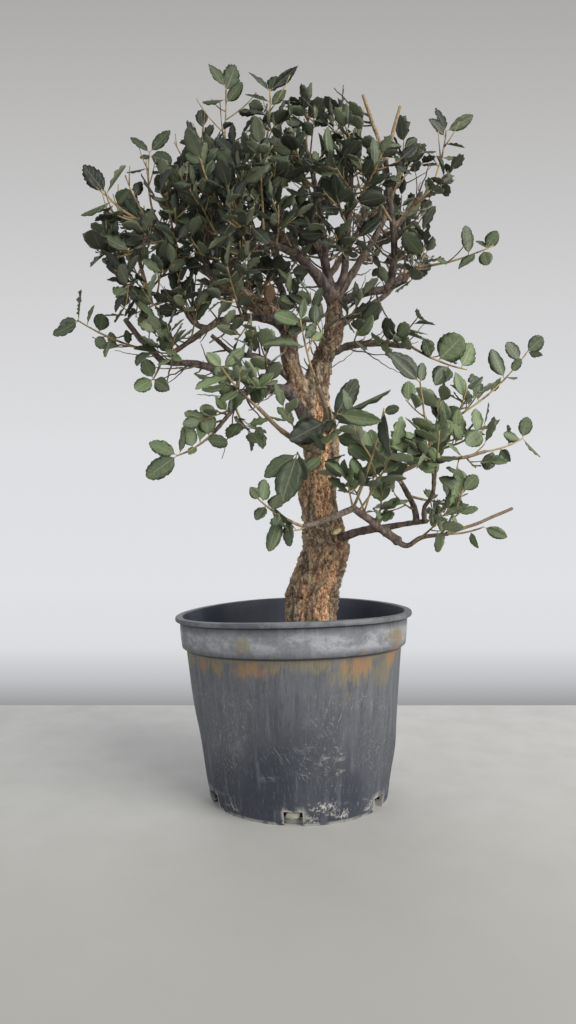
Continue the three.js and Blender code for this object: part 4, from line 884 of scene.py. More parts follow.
# The crown's outline seen from the front, at the trunk's depth: leaves that only this model has keep inside
crownOutline = [
    [-200, 508], [-199, 536], [-176, 558], [-158, 574], [-139, 586], [-121, 598], [-112, 612], [-92, 624],
    [-76, 630], [-50, 638], [-26, 650], [6, 666], [32, 672], [50, 662], [55, 636], [62, 610], [80, 598],
    [94, 606], [106, 622], [128, 608], [146, 592], [146, 570], [134, 548], [124, 528], [122, 508],
    [130, 494], [112, 482], [86, 462], [50, 448], [0, 420], [-66, 414], [-98, 412], [-146, 418],
    [-162, 436], [-176, 466], [-182, 490]]
eye = Vector(camera["place"]) / mm
growth = {
    "leafTurn": 2.39996, "fullTurn": 6.28, "barePart": 0.3, "lastRoot": 0.985, "tipShare": 0.97,
    "tipLean": 0.15, "leastLean": 0.65, "leanRange": 0.45, "lift": 0.12, "sheerest": 0.9,
    "shortestLeaf": 18, "longestLeaf": 26, "leastWidth": 0.9, "widthRange": 0.25, "leastDroop": 0.02,
    "droopRange": 0.14, "outlineDroop": 0.04, "facesUp": 0.7, "facesOut": 0.4, "faceJitter": 1.5,
    "stations": [0, 0.1, 0.4, 0.76, 1], "halfWidths": [0, 0.045, 0.3, 0.25, 0], "widestShare": 0.6,
    "leafRoom": 3.6, "ownLeafRoom": 2.4, "woodRoom": 1.3, "rootRoom": 4, "innerShare": 0.32,
    "ballStep": 4, "sampleStep": 2.5, "bowTries": 24, "bowStep": 0.018, "twigSag": 0.1, "tryTurn": 0.7,
    "mostTwigRadius": 1.5, "leastTwigRadius": 0.75, "radiusMargin": 0.2,
    "forkRadius": 0.9, "firstFork": 0.34, "forkSpacing": 0.26, "forkJitter": 0.08, "forkShare": 0.34,
    "forkLean": 0.85, "forkLeaves": 2, "spraySeed": 300, "twigSeed": 40, "forkSeed": 5000,
    "crownFoot": 440,     # the crown's outline holds above this height
    "givenTones": {  # for some leaves of the outline, 0 dark and 1 light
        21: [0.65, 0.85, 0.25, 0.3], 23: [0.35, 0.28, 0.3, 0.4, 0.45, 0.35, 0.3, 0.35],
        25: [0.3, 0.45, 0.4, 0.3, 0.5, 0.4], 26: [0.4, 0.6, 0.5, 0.3, 0.35, 0.4],
        30: [0.5, 0.25, 0.6, 0.5, 0.2, 0.45, 0.35], 31: [0.3, 0.5, 0.35], 33: [0.55, 0.75, 0.5, 0.4],
        34: [0.8, 0.12, 0.3, 0.12, 0.1], 35: [0.2, 0.3], 36: [0.15, 0.35]},
    "deadLeaves": [  # spray, root, tip, width as a share of the length, turn
        [55, [-28, -16, 452], [-27, -24, 470], 0.6, 0.4], [55, [-30, -16, 451], [-33, -22, 436], 0.6, 0.2]],
}
# How a leaf finds its place: tries, how much it shrinks at each, samples along it, and the room it keeps
sharedLeaf = {
    "tries": 14, "shrink": 0.015, "samples": [0.1 + 0.1 * i for i in range(10)],
    "room": growth["leafRoom"], "ownRoom": growth["ownLeafRoom"], "inOutline": False}
extraLeaf = {
    "tries": 8, "shrink": 0.03, "samples": [0.1 + 0.9 * i / 5 for i in range(6)],
    "room": 1.7, "ownRoom": 1.7, "inOutline": True}
extra = {  # finer growth than the solids have
    "seed": 9000, "leafSpacing": 7.0, "leafScale": 0.85, "twigRoom": 2.2,
    "twigRadii": (0.8, 0.5), "twigSpan": (0.25, 0.62), "twigTurn": 0.6, "twigLean": (0.7, 0.35),
    "twigShare": (0.26, 0.2), "twigReach": (18, 46), "bare": 0.2, "bareShared": 0.15,
    "shootRadii": (1.1, 0.6), "shootBare": 0.35, "shootStep": 12.0, "shootLean": (0.8, 0.5),
    "shootReach": (26, 26), "shootOut": 0.25, "shootUp": 0.2, "shootScale": 0.92, "shootForks": 1,
    "firstFiller": 100, "firstShoot": 200,
    "shootLimbs": {  # the share of each crown limb that stays bare
        "crownLeft": 0.45, "crownLeftTwo": 0.2, "crownMid": 0.6, "crownMidTwo": 0.6, "crownRight": 0.85,
        "crownBack": 0.5, "crownBackRight": 0.6, "crownBackLeft": 0.4, "topLeft": 0.3, "topLeftTwo": 0.4,
        "topLeftThree": 0.35, "topLeftFront": 0.2, "leftTop": 0.2, "midLeftUp": 0.4, "hangLeft": 0,
        "leftStem": 0.7},
}


class SmoothRoute:  # a curve through points, each stretch shaped by its neighbours
    def __init__(self, route):
        given = [Vector(place) for place in route]
        self.points = [2 * given[0] - given[1], *given, 2 * given[-1] - given[-2]]

    def stretch(self, share):
        place = share * (len(self.points) - 3)
        index = min(int(place), len(self.points) - 4)
        before, start, end, after = self.points[index:index + 4]
        out, into = (end - before) / 2, (after - start) / 2
        square = 3 * (end - start) - 2 * out - into
        cube = 2 * (start - end) + out + into
        return start, out, square, cube, place - index

    def at(self, share):
        start, out, square, cube, part = self.stretch(share)
        return start + (out + (square + cube * part) * part) * part

    def ahead(self, share):
        start, out, square, cube, part = self.stretch(share)
        return (out + (2 * square + 3 * cube * part) * part).normalized()

    def length(self):
        places = [self.at(i / 200) for i in range(201)]
        return sum((end - start).length for start, end in zip(places, places[1:]))


class TwigRoute(SmoothRoute):  # a single bow from start to tip
    def __init__(self, start, control, tip):
        self.start, self.control, self.tip = start, control, tip

    def at(self, share):
        rest = 1 - share
        return rest * rest * self.start + 2 * rest * share * self.control + share * share * self.tip

    def ahead(self, share):
        return ((1 - share) * (self.control - self.start) + share * (self.tip - self.control)).normalized()


limbRoutes = {name: SmoothRoute(route) for name, (_, _, route) in limbs.items()}
trunkRoute = SmoothRoute(trunk["route"])


def between(ends, share):
    return ends[0] + (ends[1] - ends[0]) * share


def limbRadius(name, share):
    return between(limbs[name], share)


def trunkRadius(share):
    place = share * (len(trunk["radii"]) - 1)
    index = min(int(place), len(trunk["radii"]) - 2)
    return between(trunk["radii"][index:], place - index)


def woodBalls():
    middles, radii = [], []

    def fill(route, radiusAt):
        steps = math.ceil(route.length() / growth["ballStep"])
        for i in range(steps + 1):
            middles.append(route.at(i / steps))
            radii.append(radiusAt(i / steps))

    fill(trunkRoute, lambda share: trunkRadius(share) * (1 + trunk["ridge"]))
    for name, route in limbRoutes.items():
        fill(route, lambda share: limbRadius(name, share))
    return np.array(middles), np.array(radii)


ballMiddles, ballRadii = woodBalls()
placed = {}  # samples of every twig and leaf so far, kept by small cubes of space


def cubeOf(place):
    return tuple(math.floor(value / growth["leafRoom"]) for value in place)


def keep(samples, spray):
    for place, inner in samples:
        placed.setdefault(cubeOf(place), []).append((place, spray, inner))


def meetsPlaced(place, inner, spray, room, ownRoom):
    cube = cubeOf(place)
    for step in product((-1, 0, 1), repeat=3):
        near = (cube[0] + step[0], cube[1] + step[1], cube[2] + step[2])
        for other, otherSpray, otherInner in placed.get(near, ()):
            own = otherSpray == spray
            if own and (inner or otherInner):
                continue
            if (other - place).length < (ownRoom if own else room):
                return True
    return False


def isClear(samples, spray, room, ownRoom):
    places = np.array([place for place, _ in samples])
    if len(places):
        away = np.linalg.norm(places[:, None] - ballMiddles[None], axis=2)
        if (away < ballRadii + growth["woodRoom"]).any():
            return False
    return not any(meetsPlaced(place, inner, spray, room, ownRoom) for place, inner in samples)


def twigRoute(start, tip, bow, turn):
    span = tip - start
    length = span.length
    side = span.cross(up).normalized()
    over = side.cross(span).normalized()
    control = start + 0.5 * span + (-growth["twigSag"] * length + bow * length * math.sin(turn)) * over
    return TwigRoute(start, control + bow * length * math.cos(turn) * side, tip)


def clearTwig(start, tip, startRadius, spray, room=growth["leafRoom"]):  # the first bow that has room
    for i in range(growth["bowTries"]):
        route = twigRoute(start, tip, growth["bowStep"] * i, growth["leafTurn"] * i)
        steps = math.ceil(route.length() / growth["sampleStep"])
        places = [route.at(j / steps) for j in range(1, steps + 1)]
        beyond = startRadius + growth["rootRoom"]
        samples = [(place, True) for place in places if (place - start).length > beyond]
        if isClear(samples, spray, room, min(room, growth["ownLeafRoom"])):
            keep(samples, spray)
            return route
    return None


def headingFrom(route, share, turn, lean):
    ahead = route.ahead(share)
    side = ahead.cross(up).normalized() if abs(ahead.z) < growth["sheerest"] else Vector((1, 0, 0))
    over = side.cross(ahead).normalized()
    heading = ahead * math.cos(lean) + side * (math.sin(lean) * math.cos(turn))
    return (heading + over * (math.sin(lean) * math.sin(turn)) + up * growth["lift"]).normalized()


def leafShape(root, heading, face, length, width, droop):
    face = (face - heading * face.dot(heading)).normalized()
    return {"root": root, "heading": heading, "face": face, "side": heading.cross(face),
            "length": length, "width": width, "droop": droop}


def leafOn(route, share, turn, scale, draw):
    atTip = share > growth["tipShare"]
    lean = growth["tipLean"] if atTip else growth["leastLean"] + growth["leanRange"] * draw()
    heading = headingFrom(route, share, turn, lean)
    root = route.at(min(share, growth["lastRoot"]))
    outward = Vector((root.x - trunk["route"][0][0], root.y, 0)).normalized()
    jitter = Vector((draw() - 0.5, draw() - 0.5, draw() - 0.5)) * growth["faceJitter"]
    face = up * growth["facesUp"] + outward * growth["facesOut"] + jitter
    short, long = growth["shortestLeaf"], growth["longestLeaf"]
    length = scale * (short + (long - short) * draw())
    width = length * (growth["leastWidth"] + growth["widthRange"] * draw())
    return leafShape(root, heading, face, length, width, growth["leastDroop"] + growth["droopRange"] * draw())


def placedLeaf(route, share, tip, ratio, turn):
    root = route.at(min(share, growth["lastRoot"]))
    span = Vector(tip) - root
    face = Matrix.Rotation(turn, 3, span.normalized()) @ Vector((0, -1, 0))
    width = span.length * ratio / growth["widestShare"]
    return leafShape(root, span.normalized(), face, span.length, width, growth["outlineDroop"])


def onLeaf(leaf, along, across):
    fall = leaf["droop"] * leaf["length"] * along * along
    return (leaf["root"] + leaf["heading"] * (along * leaf["length"]) + leaf["side"] * across
            - leaf["face"] * fall)


def leafSamples(leaf, stations):
    samples = []
    for along in stations:
        half = leaf["width"] * float(np.interp(along, growth["stations"], growth["halfWidths"]))
        for j in (-2, -1, 0, 1, 2):
            samples.append((onLeaf(leaf, along, half * j / 2), along < growth["innerShare"]))
    return samples


def insideOutline(place):  # of the crown; everything below it passes
    if place.z < growth["crownFoot"]:
        return True
    near = eye.y / (eye.y - place.y)
    x, z = eye.x + (place.x - eye.x) * near, eye.z + (place.z - eye.z) * near
    inside = False
    for (x1, z1), (x2, z2) in zip(crownOutline, crownOutline[1:] + crownOutline[:1]):
        if (z1 > z) != (z2 > z) and x < x1 + (x2 - x1) * (z - z1) / (z2 - z1):
            inside = not inside
    return inside


def growLeaf(leaves, spray, route, share, number, scale, draw, rule):  # tries turns until one has room
    firstTurn = growth["fullTurn"] * draw() + growth["leafTurn"] * number
    for attempt in range(rule["tries"]):
        turn = firstTurn + growth["tryTurn"] * attempt
        leaf = leafOn(route, share, turn, scale * (1 - rule["shrink"] * attempt), draw)
        samples = leafSamples(leaf, rule["samples"])
        if rule["inOutline"] and not insideOutline(onLeaf(leaf, 1, 0)):
            continue
        if isClear(samples, spray, rule["room"], rule["ownRoom"]):
            keep(samples, spray)
            leaves.append(leaf)
            return


def seedOf(spray, twigNumber, leafNumber):
    return spray * growth["spraySeed"] + twigNumber * growth["twigSeed"] + leafNumber


def sharedTwigs(spray, limb, share, tip, leafCount, forkCount):
    start, startRadius = limbRoutes[limb].at(share), limbRadius(limb, share)
    main = clearTwig(start, Vector(tip), startRadius, spray)
    radius = min(growth["mostTwigRadius"], startRadius - growth["radiusMargin"])
    twigs = [{"route": main, "radii": (radius, growth["leastTwigRadius"]), "leaves": leafCount}]
    draw = drawsFrom(growth["forkSeed"] + spray)
    for i in range(forkCount):
        at = growth["firstFork"] + growth["forkSpacing"] * i + growth["forkJitter"] * draw()
        turn = growth["leafTurn"] * i + growth["fullTurn"] * draw()
        heading = headingFrom(main, at, turn, growth["forkLean"])
        length = main.length() * (growth["forkShare"] + growth["forkJitter"] * draw())
        fork = clearTwig(main.at(at), main.at(at) + heading * length, 1, spray)
        if fork:
            twigs.append({"route": fork, "radii": (growth["forkRadius"], growth["leastTwigRadius"]),
                          "leaves": growth["forkLeaves"]})
    return twigs


def sharedLeaves(leaves, spray, twig, twigNumber, scale):
    for i in range(twig["leaves"]):
        share = 1 - (1 - growth["barePart"]) * i / twig["leaves"]
        draw = drawsFrom(seedOf(spray, twigNumber, i + 1))
        growLeaf(leaves, spray, twig["route"], share, i, scale, draw, sharedLeaf)


def outlineOf(spray, route):
    leaves = []
    for number, row in enumerate(outlineLeaves.get(spray, ())):
        leaf = placedLeaf(route, *row)
        if spray in growth["givenTones"]:
            leaf["tone"] = growth["givenTones"][spray][number]
        samples = leafSamples(leaf, sharedLeaf["samples"])
        if isClear(samples, spray, sharedLeaf["room"], extraLeaf["room"]):
            keep(samples, spray)
            leaves.append(leaf)
    return leaves


def extraTwigs(main, count, spray):
    draw = drawsFrom(extra["seed"] + spray)
    twigs = []
    first, span = extra["twigSpan"]
    least, most = extra["twigReach"]
    length = main.length()
    for i in range(count):
        at = first + span * (i + draw()) / count
        turn = growth["leafTurn"] * (i + extra["twigTurn"]) + growth["fullTurn"] * draw()
        heading = headingFrom(main, at, turn, extra["twigLean"][0] + extra["twigLean"][1] * draw())
        start = main.at(at)
        reach = length * (extra["twigShare"][0] + extra["twigShare"][1] * draw())
        tip = start + heading * min(max(reach, least), most)
        route = clearTwig(start, tip, 1, spray, extra["twigRoom"])
        if route:
            twigs.append({"route": route, "radii": extra["twigRadii"]})
    return twigs


def extraLeaves(spray, route, number, scale, bare, already=0):
    count = round(route.length() * (1 - bare) / extra["leafSpacing"]) - already
    for i in range(count):
        draw = drawsFrom(extra["seed"] * 7 + seedOf(spray, number, i))
        share = 1 - (1 - bare) * (i + 0.5 * draw()) / count
        growLeaf(leafSets[spray - 1], spray, route, share, i, scale, draw, extraLeaf)


def addShoot(limb, share, tip, scale, forks, number):  # joins the spray whose tip is nearest
    spray = 1 + min(range(len(sprays)), key=lambda i: (Vector(sprays[i][2]) - tip).length)
    radius = limbRadius(limb, share)
    route = clearTwig(limbRoutes[limb].at(share), tip, radius, spray, extra["twigRoom"])
    if route:
        most, least = extra["shootRadii"]
        shoots = [{"route": route, "radii": (min(most, radius - growth["radiusMargin"]), least)}]
        shoots += extraTwigs(route, forks, spray)
        for i, shoot in enumerate(shoots):
            bare = extra["bare"] if i else extra["shootBare"]
            extraLeaves(spray, shoot["route"], number * 4 + i, scale, bare)
        extraSets[spray - 1] += shoots


def growShoots():  # short leafy shoots all along the crown's limbs
    draw = drawsFrom(extra["seed"] * 3)
    number = extra["firstShoot"]
    for limb, bare in extra["shootLimbs"].items():
        route = limbRoutes[limb]
        count = round(route.length() * (1 - bare) / extra["shootStep"])
        for i in range(count):
            share = bare + (1 - bare) * (i + draw()) / count
            start = route.at(share)
            turn = growth["leafTurn"] * i + draw()
            heading = headingFrom(route, share, turn, extra["shootLean"][0] + extra["shootLean"][1] * draw())
            heading += Vector((start.x, start.y, 0)).normalized() * extra["shootOut"] + up * extra["shootUp"]
            reach = extra["shootReach"][0] + extra["shootReach"][1] * draw()
            tip = start + heading.normalized() * reach
            addShoot(limb, share, tip, extra["shootScale"], extra["shootForks"], number)
            number += 1


twigSets = [sharedTwigs(i + 1, *spec[:5]) for i, spec in enumerate(sprays)]
leafSets = []
for i, twigs in enumerate(twigSets):
    leaves = outlineOf(i + 1, twigs[0]["route"])
    for j, twig in enumerate(twigs):
        sharedLeaves(leaves, i + 1, twig, j, sprays[i][5])
    leafSets.append(leaves)
print("growth:", sum(len(leaves) for leaves in leafSets), "leaves as in the solids")
extraSets = [extraTwigs(twigSets[i][0]["route"], spec[6], i + 1) for i, spec in enumerate(sprays)]
for i, spec in enumerate(sprays):
    for j, twig in enumerate(extraSets[i]):
        extraLeaves(i + 1, twig["route"], j + 5, spec[5] * extra["leafScale"], extra["bare"])
    if i + 1 not in outlineLeaves:
        for j, twig in enumerate(twigSets[i]):
            extraLeaves(i + 1, twig["route"], j + 20, spec[5] * extra["leafScale"],
                        extra["bareShared"], twig["leaves"])
for spray, root, tip, ratio, turn in growth["deadLeaves"]:
    stalk = TwigRoute(Vector(root), Vector(root), Vector(tip))
    leafSets[spray - 1].append({**placedLeaf(stalk, 0, tip, ratio, turn), "withered": True})
for number, (limb, share, tip, scale, forks) in enumerate(fillers, extra["firstFiller"]):
    addShoot(limb, share, Vector(tip), scale, forks, number)
growShoots()
print("growth:", sum(len(leaves) for leaves in leafSets), "leaves in all")

# Wood

bark = {
    "thickFrom": 4.35, "voxel": 1.3, "stationStep": 2.0, "plateWidth": 8.5, "plateLength": 22.0,
    "corkyRadii": (5.5, 12),     # limbs turn from smooth to corky between these radii
    "fissureDepth": 3.0, "grainDepth": 0.8, "tearDepth": 1.6, "tearFrom": 14,
    "trunkStep": 3, "thickStep": 3, "thinStep": 2.4, "thinKnobs": 0.5, "youngTan": 0.12,
    "twigSpacing": 9.0, "twigsFrom": 340, "twigReach": (20, 38), "twigRoom": 1.1, "twigTan": 0.15, "seed": 31,
    "tones": {  # how tan a limb's bark is
        "stubLeft": 0.9, "stubRight": 0.85, "frontUp": 0.6, "frontUpLeft": 0.6, "frontLeft": 0.15,
        "hangLeft": 0.6, "riserThree": 0.5, "rightLowFront": 0.6, "lowRightSpur": 0.55, "leftTop": 0.35,
        "rightTop": 0.5, "frontStub": 0.45},
    "tears": [  # on the trunk: from and to height, turn about it in degrees, half width in degrees
        (148, 216, -62, 17), (160, 200, -112, 8), (196, 232, -88, 9), (262, 300, -58, 15),
        (296, 330, -100, 12), (254, 366, -82, 24), (150, 230, 60, 15), (180, 260, 150, 16),
        (240, 320, 95, 12)],
    "wound": {"place": (33.5, -21.5, 242.6), "heading": (0.5, -0.86, 0.12), "size": (5.2, 2.3, 6)},
    "colours": {
        "plateDark": (0.105, 0.079, 0.054), "platePale": (0.58, 0.455, 0.32), "moss": (0.26, 0.235, 0.17),
        "crevice": (0.13, 0.075, 0.045), "freshDark": (0.21, 0.072, 0.032), "freshPale": (0.90, 0.57, 0.32),
        "speck": (0.66, 0.47, 0.29), "pit": (0.055, 0.028, 0.018), "deep": (0.040, 0.018, 0.012),
        "limbDark": (0.045, 0.033, 0.030), "limbPale": (0.20, 0.155, 0.135), "tanDark": (0.20, 0.140, 0.080),
        "tanPale": (0.46, 0.345, 0.205), "cutDark": (0.66, 0.50, 0.24), "cutPale": (0.86, 0.76, 0.48)},
}
thickLimbs = [name for name in limbs if limbs[name][0] >= bark["thickFrom"]]


def strandOn(route, steps, station):  # places and radii along a route
    return [station(route.at(i / steps), i / steps) for i in range(steps + 1)]


def tubesFrom(name, strands, resolution):
    data = bpy.data.curves.new(name, "CURVE")
    data.dimensions = "3D"
    data.bevel_depth = 1.0
    data.bevel_resolution = resolution
    data.use_fill_caps = True
    data.twist_mode = "MINIMUM"
    for strand in strands:
        spline = data.splines.new("POLY")
        spline.points.add(len(strand) - 1)
        for point, (place, radius) in zip(spline.points, strand):
            point.co = (*(place * mm), 1)
            point.radius = radius * mm
        spline.use_smooth = True
    tubes = bpy.data.objects.new(name, data)
    bpy.context.collection.objects.link(tubes)
    activate(tubes)
    bpy.ops.object.convert(target="MESH")
    tubes = bpy.context.object
    outwardFaces(tubes)
    return tubes


def limbStrand(name, step, knobs=0.0):  # flared where it leaves, uneven along its way
    route = limbRoutes[name]
    length = route.length()
    offset = Vector((len(name) * 7.3, route.points[1].x, route.points[1].z))

    def station(place, share):
        radius = limbRadius(name, share)
        flare = 1 + 0.3 * math.exp(-share * length / (1.6 * radius))
        wobble = noise.noise_vector(place / 16 + offset) * min(radius, 3.2) * 0.26
        swell = 1 + 0.16 * noise.noise(place / 9 + offset)
        knob = swell + knobs * max(0, noise.noise(place / 5 + offset) - 0.25)
        fromEnds = min(share, 1 - share) * length
        return place + wobble * min(1, fromEnds / 8), radius * flare * knob

    return strandOn(route, max(4, round(length / step)), station)


def trunkStrand():
    def station(place, share):
        return place, trunkRadius(share) * (1.035 + 0.03 * noise.noise(place / 30))

    return strandOn(trunkRoute, round(trunkRoute.length() / bark["trunkStep"]), station)


def barkStations():  # frames along the trunk and the thick limbs, which the bark's plates follow
    stations = []
    for name in ["trunk", *thickLimbs]:
        route = trunkRoute if name == "trunk" else limbRoutes[name]
        length = route.length()
        steps = math.ceil(length / bark["stationStep"])
        side = Vector((1, 0, 0))
        for i in range(steps + 1):
            share = i / steps
            ahead = route.ahead(share)
            side = (side - ahead * side.dot(ahead)).normalized()
            radius = trunkRadius(share) if name == "trunk" else limbRadius(name, share)
            stations.append((route.at(share), ahead, side.copy(), radius, share * length, len(name) * 17.0))
    tree = kdtree.KDTree(len(stations))
    for i, station in enumerate(stations):
        tree.insert(station[0], i)
    tree.balance()
    return tree, stations


def crackAt(local):  # how deep in a fissure a place of the bark is, from 0 on a plate to 1
    warp = noise.noise_vector(local * 1.1) * 0.6 + noise.noise_vector(local * 3.5) * 0.2
    near = noise.voronoi(local + warp)[0]
    wide = 0.36 + 0.3 * noise.noise(local * 0.8 + Vector((4, 4, 4)))
    crack = 1 - float(ease(near[1] - near[0], 0.02, max(wide, 0.08)))
    small = noise.voronoi(local * 2.6 + 2 * warp)[0]
    return max(crack, 0.6 * (1 - float(ease(small[1] - small[0], 0.03, 0.3))))


def tearAt(place, out):  # 1 where the trunk's bark is torn off, with a ragged edge
    ragged = 9 * noise.noise(place / 6) + 5 * noise.noise(place / 2.4)
    angle = math.degrees(math.atan2(out.y, out.x)) + ragged
    tear = 0.0
    for low, high, turn, half in bark["tears"]:
        away = abs((angle - turn + 180) % 360 - 180)
        inside = min(place.z + ragged - low, high - place.z - ragged)
        tear = max(tear, float(ease(half - away, -2, 5) * ease(inside, -3, 6)))
    return tear


def corkAt(place, tree, stations):  # relief, crevice, corkiness and tear of a place on the wood
    middle, ahead, side, radius, along, offset = min(
        (stations[index] for _, index, _ in tree.find_n(place, 7)),
        key=lambda station: (place - station[0]).length - station[3])
    out = place - middle
    lift = out.dot(ahead)
    out = (out - ahead * lift).normalized()
    cork = float(ease(radius, *bark["corkyRadii"]))
    width = bark["plateWidth"] * (0.5 + 0.5 * cork)
    length = bark["plateLength"] * (0.55 + 0.45 * cork)
    local = Vector((out.dot(side) * radius / width, out.dot(ahead.cross(side)) * radius / width,
                    (along + lift) / length + offset))
    crack = crackAt(local)
    grit = noise.noise(place / 1.6) * 0.7 + noise.noise(place / 3.3) * 0.8
    swell = 0.5 * noise.noise(local * 0.9 + Vector((7, 2, 5)))
    relief = (swell - crack) * bark["fissureDepth"] * (0.22 + 0.78 * cork) * min(1, radius / 14)
    relief += grit * bark["grainDepth"] * (0.35 + 0.65 * cork) * (0.5 + crack)
    tear = tearAt(place, out) if radius > bark["tearFrom"] else 0.0
    return relief - bark["tearDepth"] * tear, crack, cork, tear


def corkRelief(mesh):
    points = pointsOf(mesh) / mm
    normals = pointsOf(mesh, "normal")
    tree, stations = barkStations()
    relief, crevice, cork, tear = np.array([corkAt(Vector(point), tree, stations) for point in points]).T
    setPoints(mesh, (points + normals * relief[:, None]) * mm)
    setValues(mesh, "crevice", crevice)
    setValues(mesh, "cork", cork)
    setValues(mesh, "tear", tear)
    setValues(mesh, "tan", 0)


def barkMaterial():
    material, wires = newMaterial("corkBark")
    colours = bark["colours"]
    even, drawn = wires.stretched(), wires.stretched((1, 1, 0.55))
    crevice, cork = wires.attribute("crevice"), wires.attribute("cork")
    mottle = wires.step(wires.noise(drawn, 260, 6, 0.75), 0.36, 0.66)
    wires.colour = wires.mix(mottle, colours["plateDark"], colours["platePale"])
    wires.coat(wires.blotches(even, 60, 0.5, 0.62), colours["moss"], 0.4)
    wires.coat(wires.step(crevice, 0.25, 0.9), colours["crevice"], 0.75)
    granules = wires.noise(drawn, 480, 5, 0.7)
    ragged = wires.noise(wires.stretched((1, 1, 0.22)), 330, 5, 0.7)
    crumbly = wires.step(wires.scaled(granules, 0.6, wires.times(ragged, 0.4)), 0.40, 0.58)
    fresh = wires.mix(crumbly, colours["freshDark"], colours["freshPale"])
    # torn stripes where the orange cork shows
    warm = wires.times(wires.blotches(wires.stretched((1, 1, 0.3)), 60, 0.48, 0.60), 0.4)
    warm = wires.most(wires.attribute("tear"), warm)
    torn = wires.scaled(wires.step(crevice, 0.0, 0.4), 0.35, 0.6)
    wires.coat(wires.times(torn, warm, cork), fresh)
    wires.coat(wires.times(wires.blotches(even, 300, 0.54, 0.64), cork), colours["speck"], 0.5)
    pits = wires.blotches(wires.stretched((1, 1, 0.7)), 360, 0.55, 0.64)
    wires.coat(wires.times(pits, cork), colours["pit"], 0.7)
    # painted shade: the deepest cracks are painted near-black
    deep = wires.times(wires.step(crevice, 0.80, 1.0), wires.step(ragged, 0.62, 0.44))
    wires.coat(deep, colours["deep"], 0.75)
    # younger limbs: brown-grey, streaked along, some of them tan
    streak = wires.noise(wires.stretched((1, 1, 0.4)), 240, 4, 0.6)
    limb = wires.mix(wires.step(streak, 0.32, 0.7), colours["limbDark"], colours["limbPale"])
    tan = wires.mix(streak, colours["tanDark"], colours["tanPale"])
    limb = wires.mix(wires.attribute("tan"), limb, tan)
    wires.colour = wires.mix(wires.step(cork, 0.0, 0.5), limb, wires.colour)
    rings = wires.mix(wires.noise(even, 500, 2, 0.5), colours["cutDark"], colours["cutPale"])
    wires.coat(wires.attribute("cut"), rings)
    fine = wires.grain(even, 640, 1.3)
    wires.close(0.88, wires.calc("ADD", wires.times(fine, 0.5), wires.times(granules, 0.5)), 0.8, 0.001)
    return material


def cutStub(place, heading, size):  # a short pruned stub with a pale face
    bpy.ops.mesh.primitive_cylinder_add(vertices=14, radius=1, depth=1, location=(0, 0, 0))
    stub = bpy.context.object
    startEditing(stub)
    selectPoints(lambda spot: spot.z > 0)
    bpy.ops.mesh.bevel(offset=0.22, segments=2)
    stopEditing()
    turn = Vector(heading).to_track_quat("Z", "Y").to_matrix().to_4x4() @ Matrix.Rotation(0.45, 4, "Z")
    shape = turn @ Matrix.Diagonal((*size, 1))
    stub.data.transform(Matrix.Scale(mm, 4) @ Matrix.Translation(Vector(place)) @ shape)
    height = (pointsOf(stub.data) / mm - np.array(place)) @ np.array(Vector(heading).normalized())
    setValues(stub.data, "cut", ease(height, 0.2 * size[2], 0.42 * size[2]))
    setValues(stub.data, "cork", 0.3)
    return stub


def bareTwigs():  # the thin leafless shoots inside the crown
    draw = drawsFrom(bark["seed"])
    least, more = bark["twigReach"]
    strands = []
    for name, route in limbRoutes.items():
        if route.points[1].z < bark["twigsFrom"]:
            continue
        for i in range(round(route.length() / bark["twigSpacing"])):
            share = 0.2 + 0.8 * draw()
            start = route.at(share)
            heading = headingFrom(route, share, 6.28 * draw(), 0.6 + 0.6 * draw())
            reach = least + more * draw() ** 1.5
            shoot = clearTwig(start, start + heading * reach, limbRadius(name, share), -1, bark["twigRoom"])
            if not shoot or not insideOutline(start + heading * reach * 1.15):
                continue
            steps = max(5, round(reach / 4.5))
            thin = 0.55 + 0.5 * draw()

            def station(place, share):
                kink = noise.noise_vector(place / 7) * 1.5 * min(1, share * steps / 2)
                return place + kink, thin * (1.15 - 0.7 * share)

            strands.append(strandOn(shoot, steps, station))
    return strands


def makeWood():
    strands = [limbStrand(name, bark["thickStep"]) for name in thickLimbs]
    core = tubesFrom("core", [trunkStrand(), *strands], 6)
    applyModifier(core, "REMESH", mode="VOXEL", voxel_size=bark["voxel"] * mm, adaptivity=0.0)
    applyModifier(core, "SMOOTH", factor=0.5, iterations=4)
    corkRelief(core.data)
    parts = [core]
    for name in limbs:
        if name not in thickLimbs:
            tube = tubesFrom(name, [limbStrand(name, bark["thinStep"], bark["thinKnobs"])], 4)
            setValues(tube.data, "tan", bark["tones"].get(name, bark["youngTan"]))
            parts.append(tube)
    twigs = tubesFrom("bareTwigs", bareTwigs(), 1)
    setValues(twigs.data, "tan", bark["twigTan"])
    wood = joinPieces([*parts, twigs, cutStub(**bark["wound"])])
    bpy.ops.object.shade_smooth()
    finishPiece(wood, "corkWood", "tree_wood", barkMaterial())
    print("wood:", len(wood.data.polygons), "faces")


makeWood()

# Leaves

